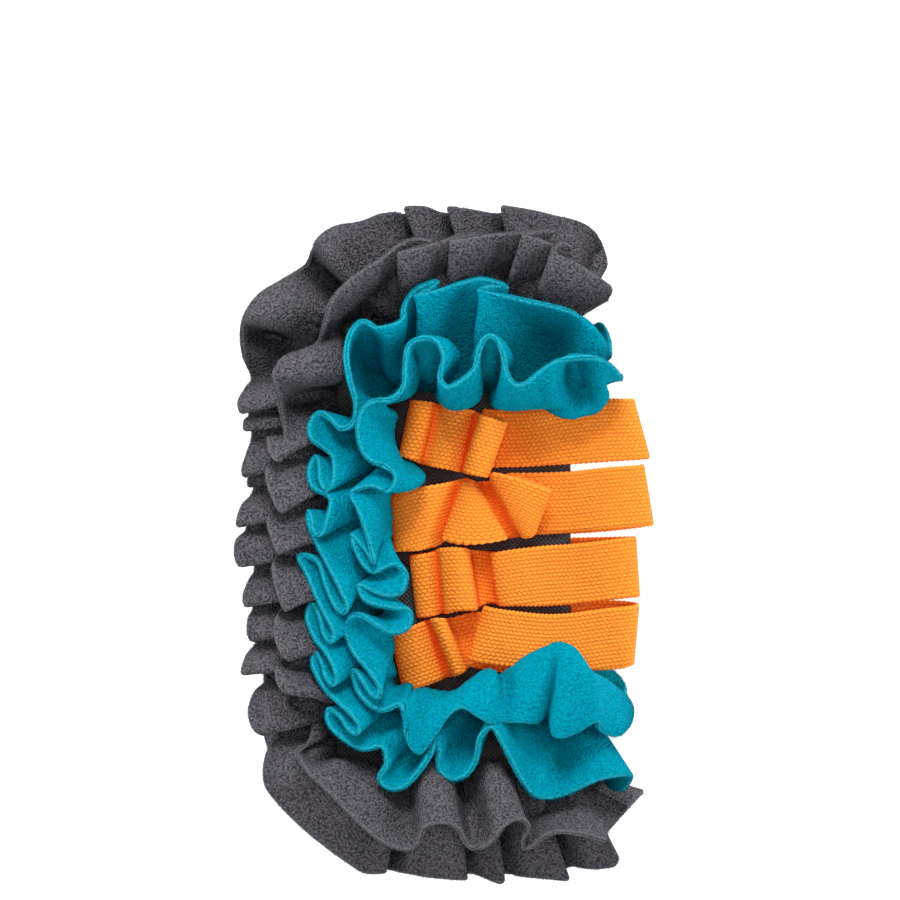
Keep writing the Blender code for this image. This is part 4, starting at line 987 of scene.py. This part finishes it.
for number, (table, flat_run) in enumerate(zip(STRAPS, STRAP_RUNS), 1):
    rows = list(table)
    start, upper, sewn, lower = rows[-1][0], rows[-1][1], rows[-1][2], rows[-1][4]
    steps = LOOP_STEPS * BACK_LOOPS
    for i in range(1, steps + 1):
        x = start + (STRAP_END_X - start) * i / steps
        drop = BACK_LOOP_DROP * math.sin(math.pi * i / LOOP_STEPS) ** 2
        rows.append((x, upper, sewn - drop, x, lower, sewn - drop))
    pairs = np.array([[row[:3], row[3:]] for row in rows], dtype=float)
    lead = np.concatenate([pairs.mean(axis=1, keepdims=True), pairs], axis=1)
    fine = through(lead, [STRAP_STEP] * len(rows))
    last = np.argmin(np.linalg.norm(fine[:, 0] - lead[-1, 0], axis=1))
    fine = fine[:last + 1, 1:]
    side = unit(fine[:, 1] - fine[:, 0])
    fine = np.stack([fine[:, 0] + side * SELVAGE_INSET, fine[:, 1] - side * SELVAGE_INSET], axis=1)
    share = np.linspace(0, 1, STRAP_ACROSS)[None, :, None]
    grid = fine[:, :1] * (1 - share) + fine[:, 1:] * share
    run = np.concatenate([[0], np.cumsum(
        np.linalg.norm(np.diff(fine.mean(axis=1), axis=0), axis=1))])
    wave = SCALLOP * np.sin(2 * math.pi * run / KNUCKLE_LONG)
    grid[:, 0] -= side * wave[:, None]
    grid[:, -1] -= side * wave[:, None]
    strap = thick_sheet(f"strap_{number}_cloth", grid, WEBBING, False, webbing)
    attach(strap, "root")
    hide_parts(f"strap_{number}")


# Floor, lights and camera: a plain pale sweep under six soft lamps, seen from straight above
# through a long lens. FOCUS_HEIGHT is the height at which a pixel is MM_A_PIXEL wide.
MM_A_PIXEL = 0.365
PHOTO_SIDE = 900
MAT_CENTRE_PIXEL = (445.5, 545.0)
VIEW_X = (PHOTO_SIDE / 2 - MAT_CENTRE_PIXEL[0]) * MM_A_PIXEL
VIEW_Y = (MAT_CENTRE_PIXEL[1] - PHOTO_SIDE / 2) * MM_A_PIXEL
VIEW_WIDTH = PHOTO_SIDE * MM_A_PIXEL
CAMERA_HEIGHT = 2600.0
FOCUS_HEIGHT = 45.0
SENSOR = 36.0
LAMP_SIDE = 0.6
floor_mesh = bpy.data.meshes.new("floor")
reach = 3.0
floor_mesh.from_pydata([(-reach, -reach, 0), (reach, -reach, 0), (reach, reach, 0),
                        (-reach, reach, 0)], [], [(0, 1, 2, 3)])
floor = bpy.data.objects.new("floor", floor_mesh)
bpy.context.scene.collection.objects.link(floor)
paper, tree = new_material("pale_paper")
shader = add_node(tree, "ShaderNodeBsdfPrincipled", {}, {
    "Base Color": (0.8, 0.8, 0.8, 1), "Roughness": 0.9,
    "Emission Color": (1, 1, 1, 1), "Emission Strength": 0.7})
close_material(tree, shader)
floor_mesh.materials.append(paper)

world = bpy.data.worlds.new("studio")
bpy.context.scene.world = world
world.use_nodes = True
world.node_tree.nodes["Background"].inputs["Color"].default_value = (1, 1, 1, 1)
world.node_tree.nodes["Background"].inputs["Strength"].default_value = 0.02
for name, place, power in (
        ("above", (0.0, 0.02, 1.7), 9.0),
        ("north high", (0.0, 1.2, 1.2), 23.0),
        ("north low", (0.0, 1.6, 0.58), 6.0),
        ("west", (-1.6, 0.0, 0.58), 19.0),
        ("east", (1.6, 0.0, 0.58), 16.0),
        ("south", (0.0, -1.5, 0.75), 11.0)):
    lamp = bpy.data.lights.new(name, "AREA")
    lamp.shape = "SQUARE"
    lamp.size = LAMP_SIDE
    lamp.energy = power
    light = bpy.data.objects.new(name, lamp)
    bpy.context.scene.collection.objects.link(light)
    light.location = place
    aim = -light.location
    light.rotation_euler = aim.to_track_quat("-Z", "Y").to_euler()

camera_data = bpy.data.cameras.new("camera")
camera_data.sensor_width = SENSOR
camera_data.lens = SENSOR * (CAMERA_HEIGHT - FOCUS_HEIGHT) / VIEW_WIDTH
camera_data.clip_end = 20.0
camera = bpy.data.objects.new("camera", camera_data)
bpy.context.scene.collection.objects.link(camera)
camera.location = (VIEW_X * MM, VIEW_Y * MM, CAMERA_HEIGHT * MM)
bpy.context.scene.camera = camera
bpy.context.scene.view_settings.view_transform = "Standard"
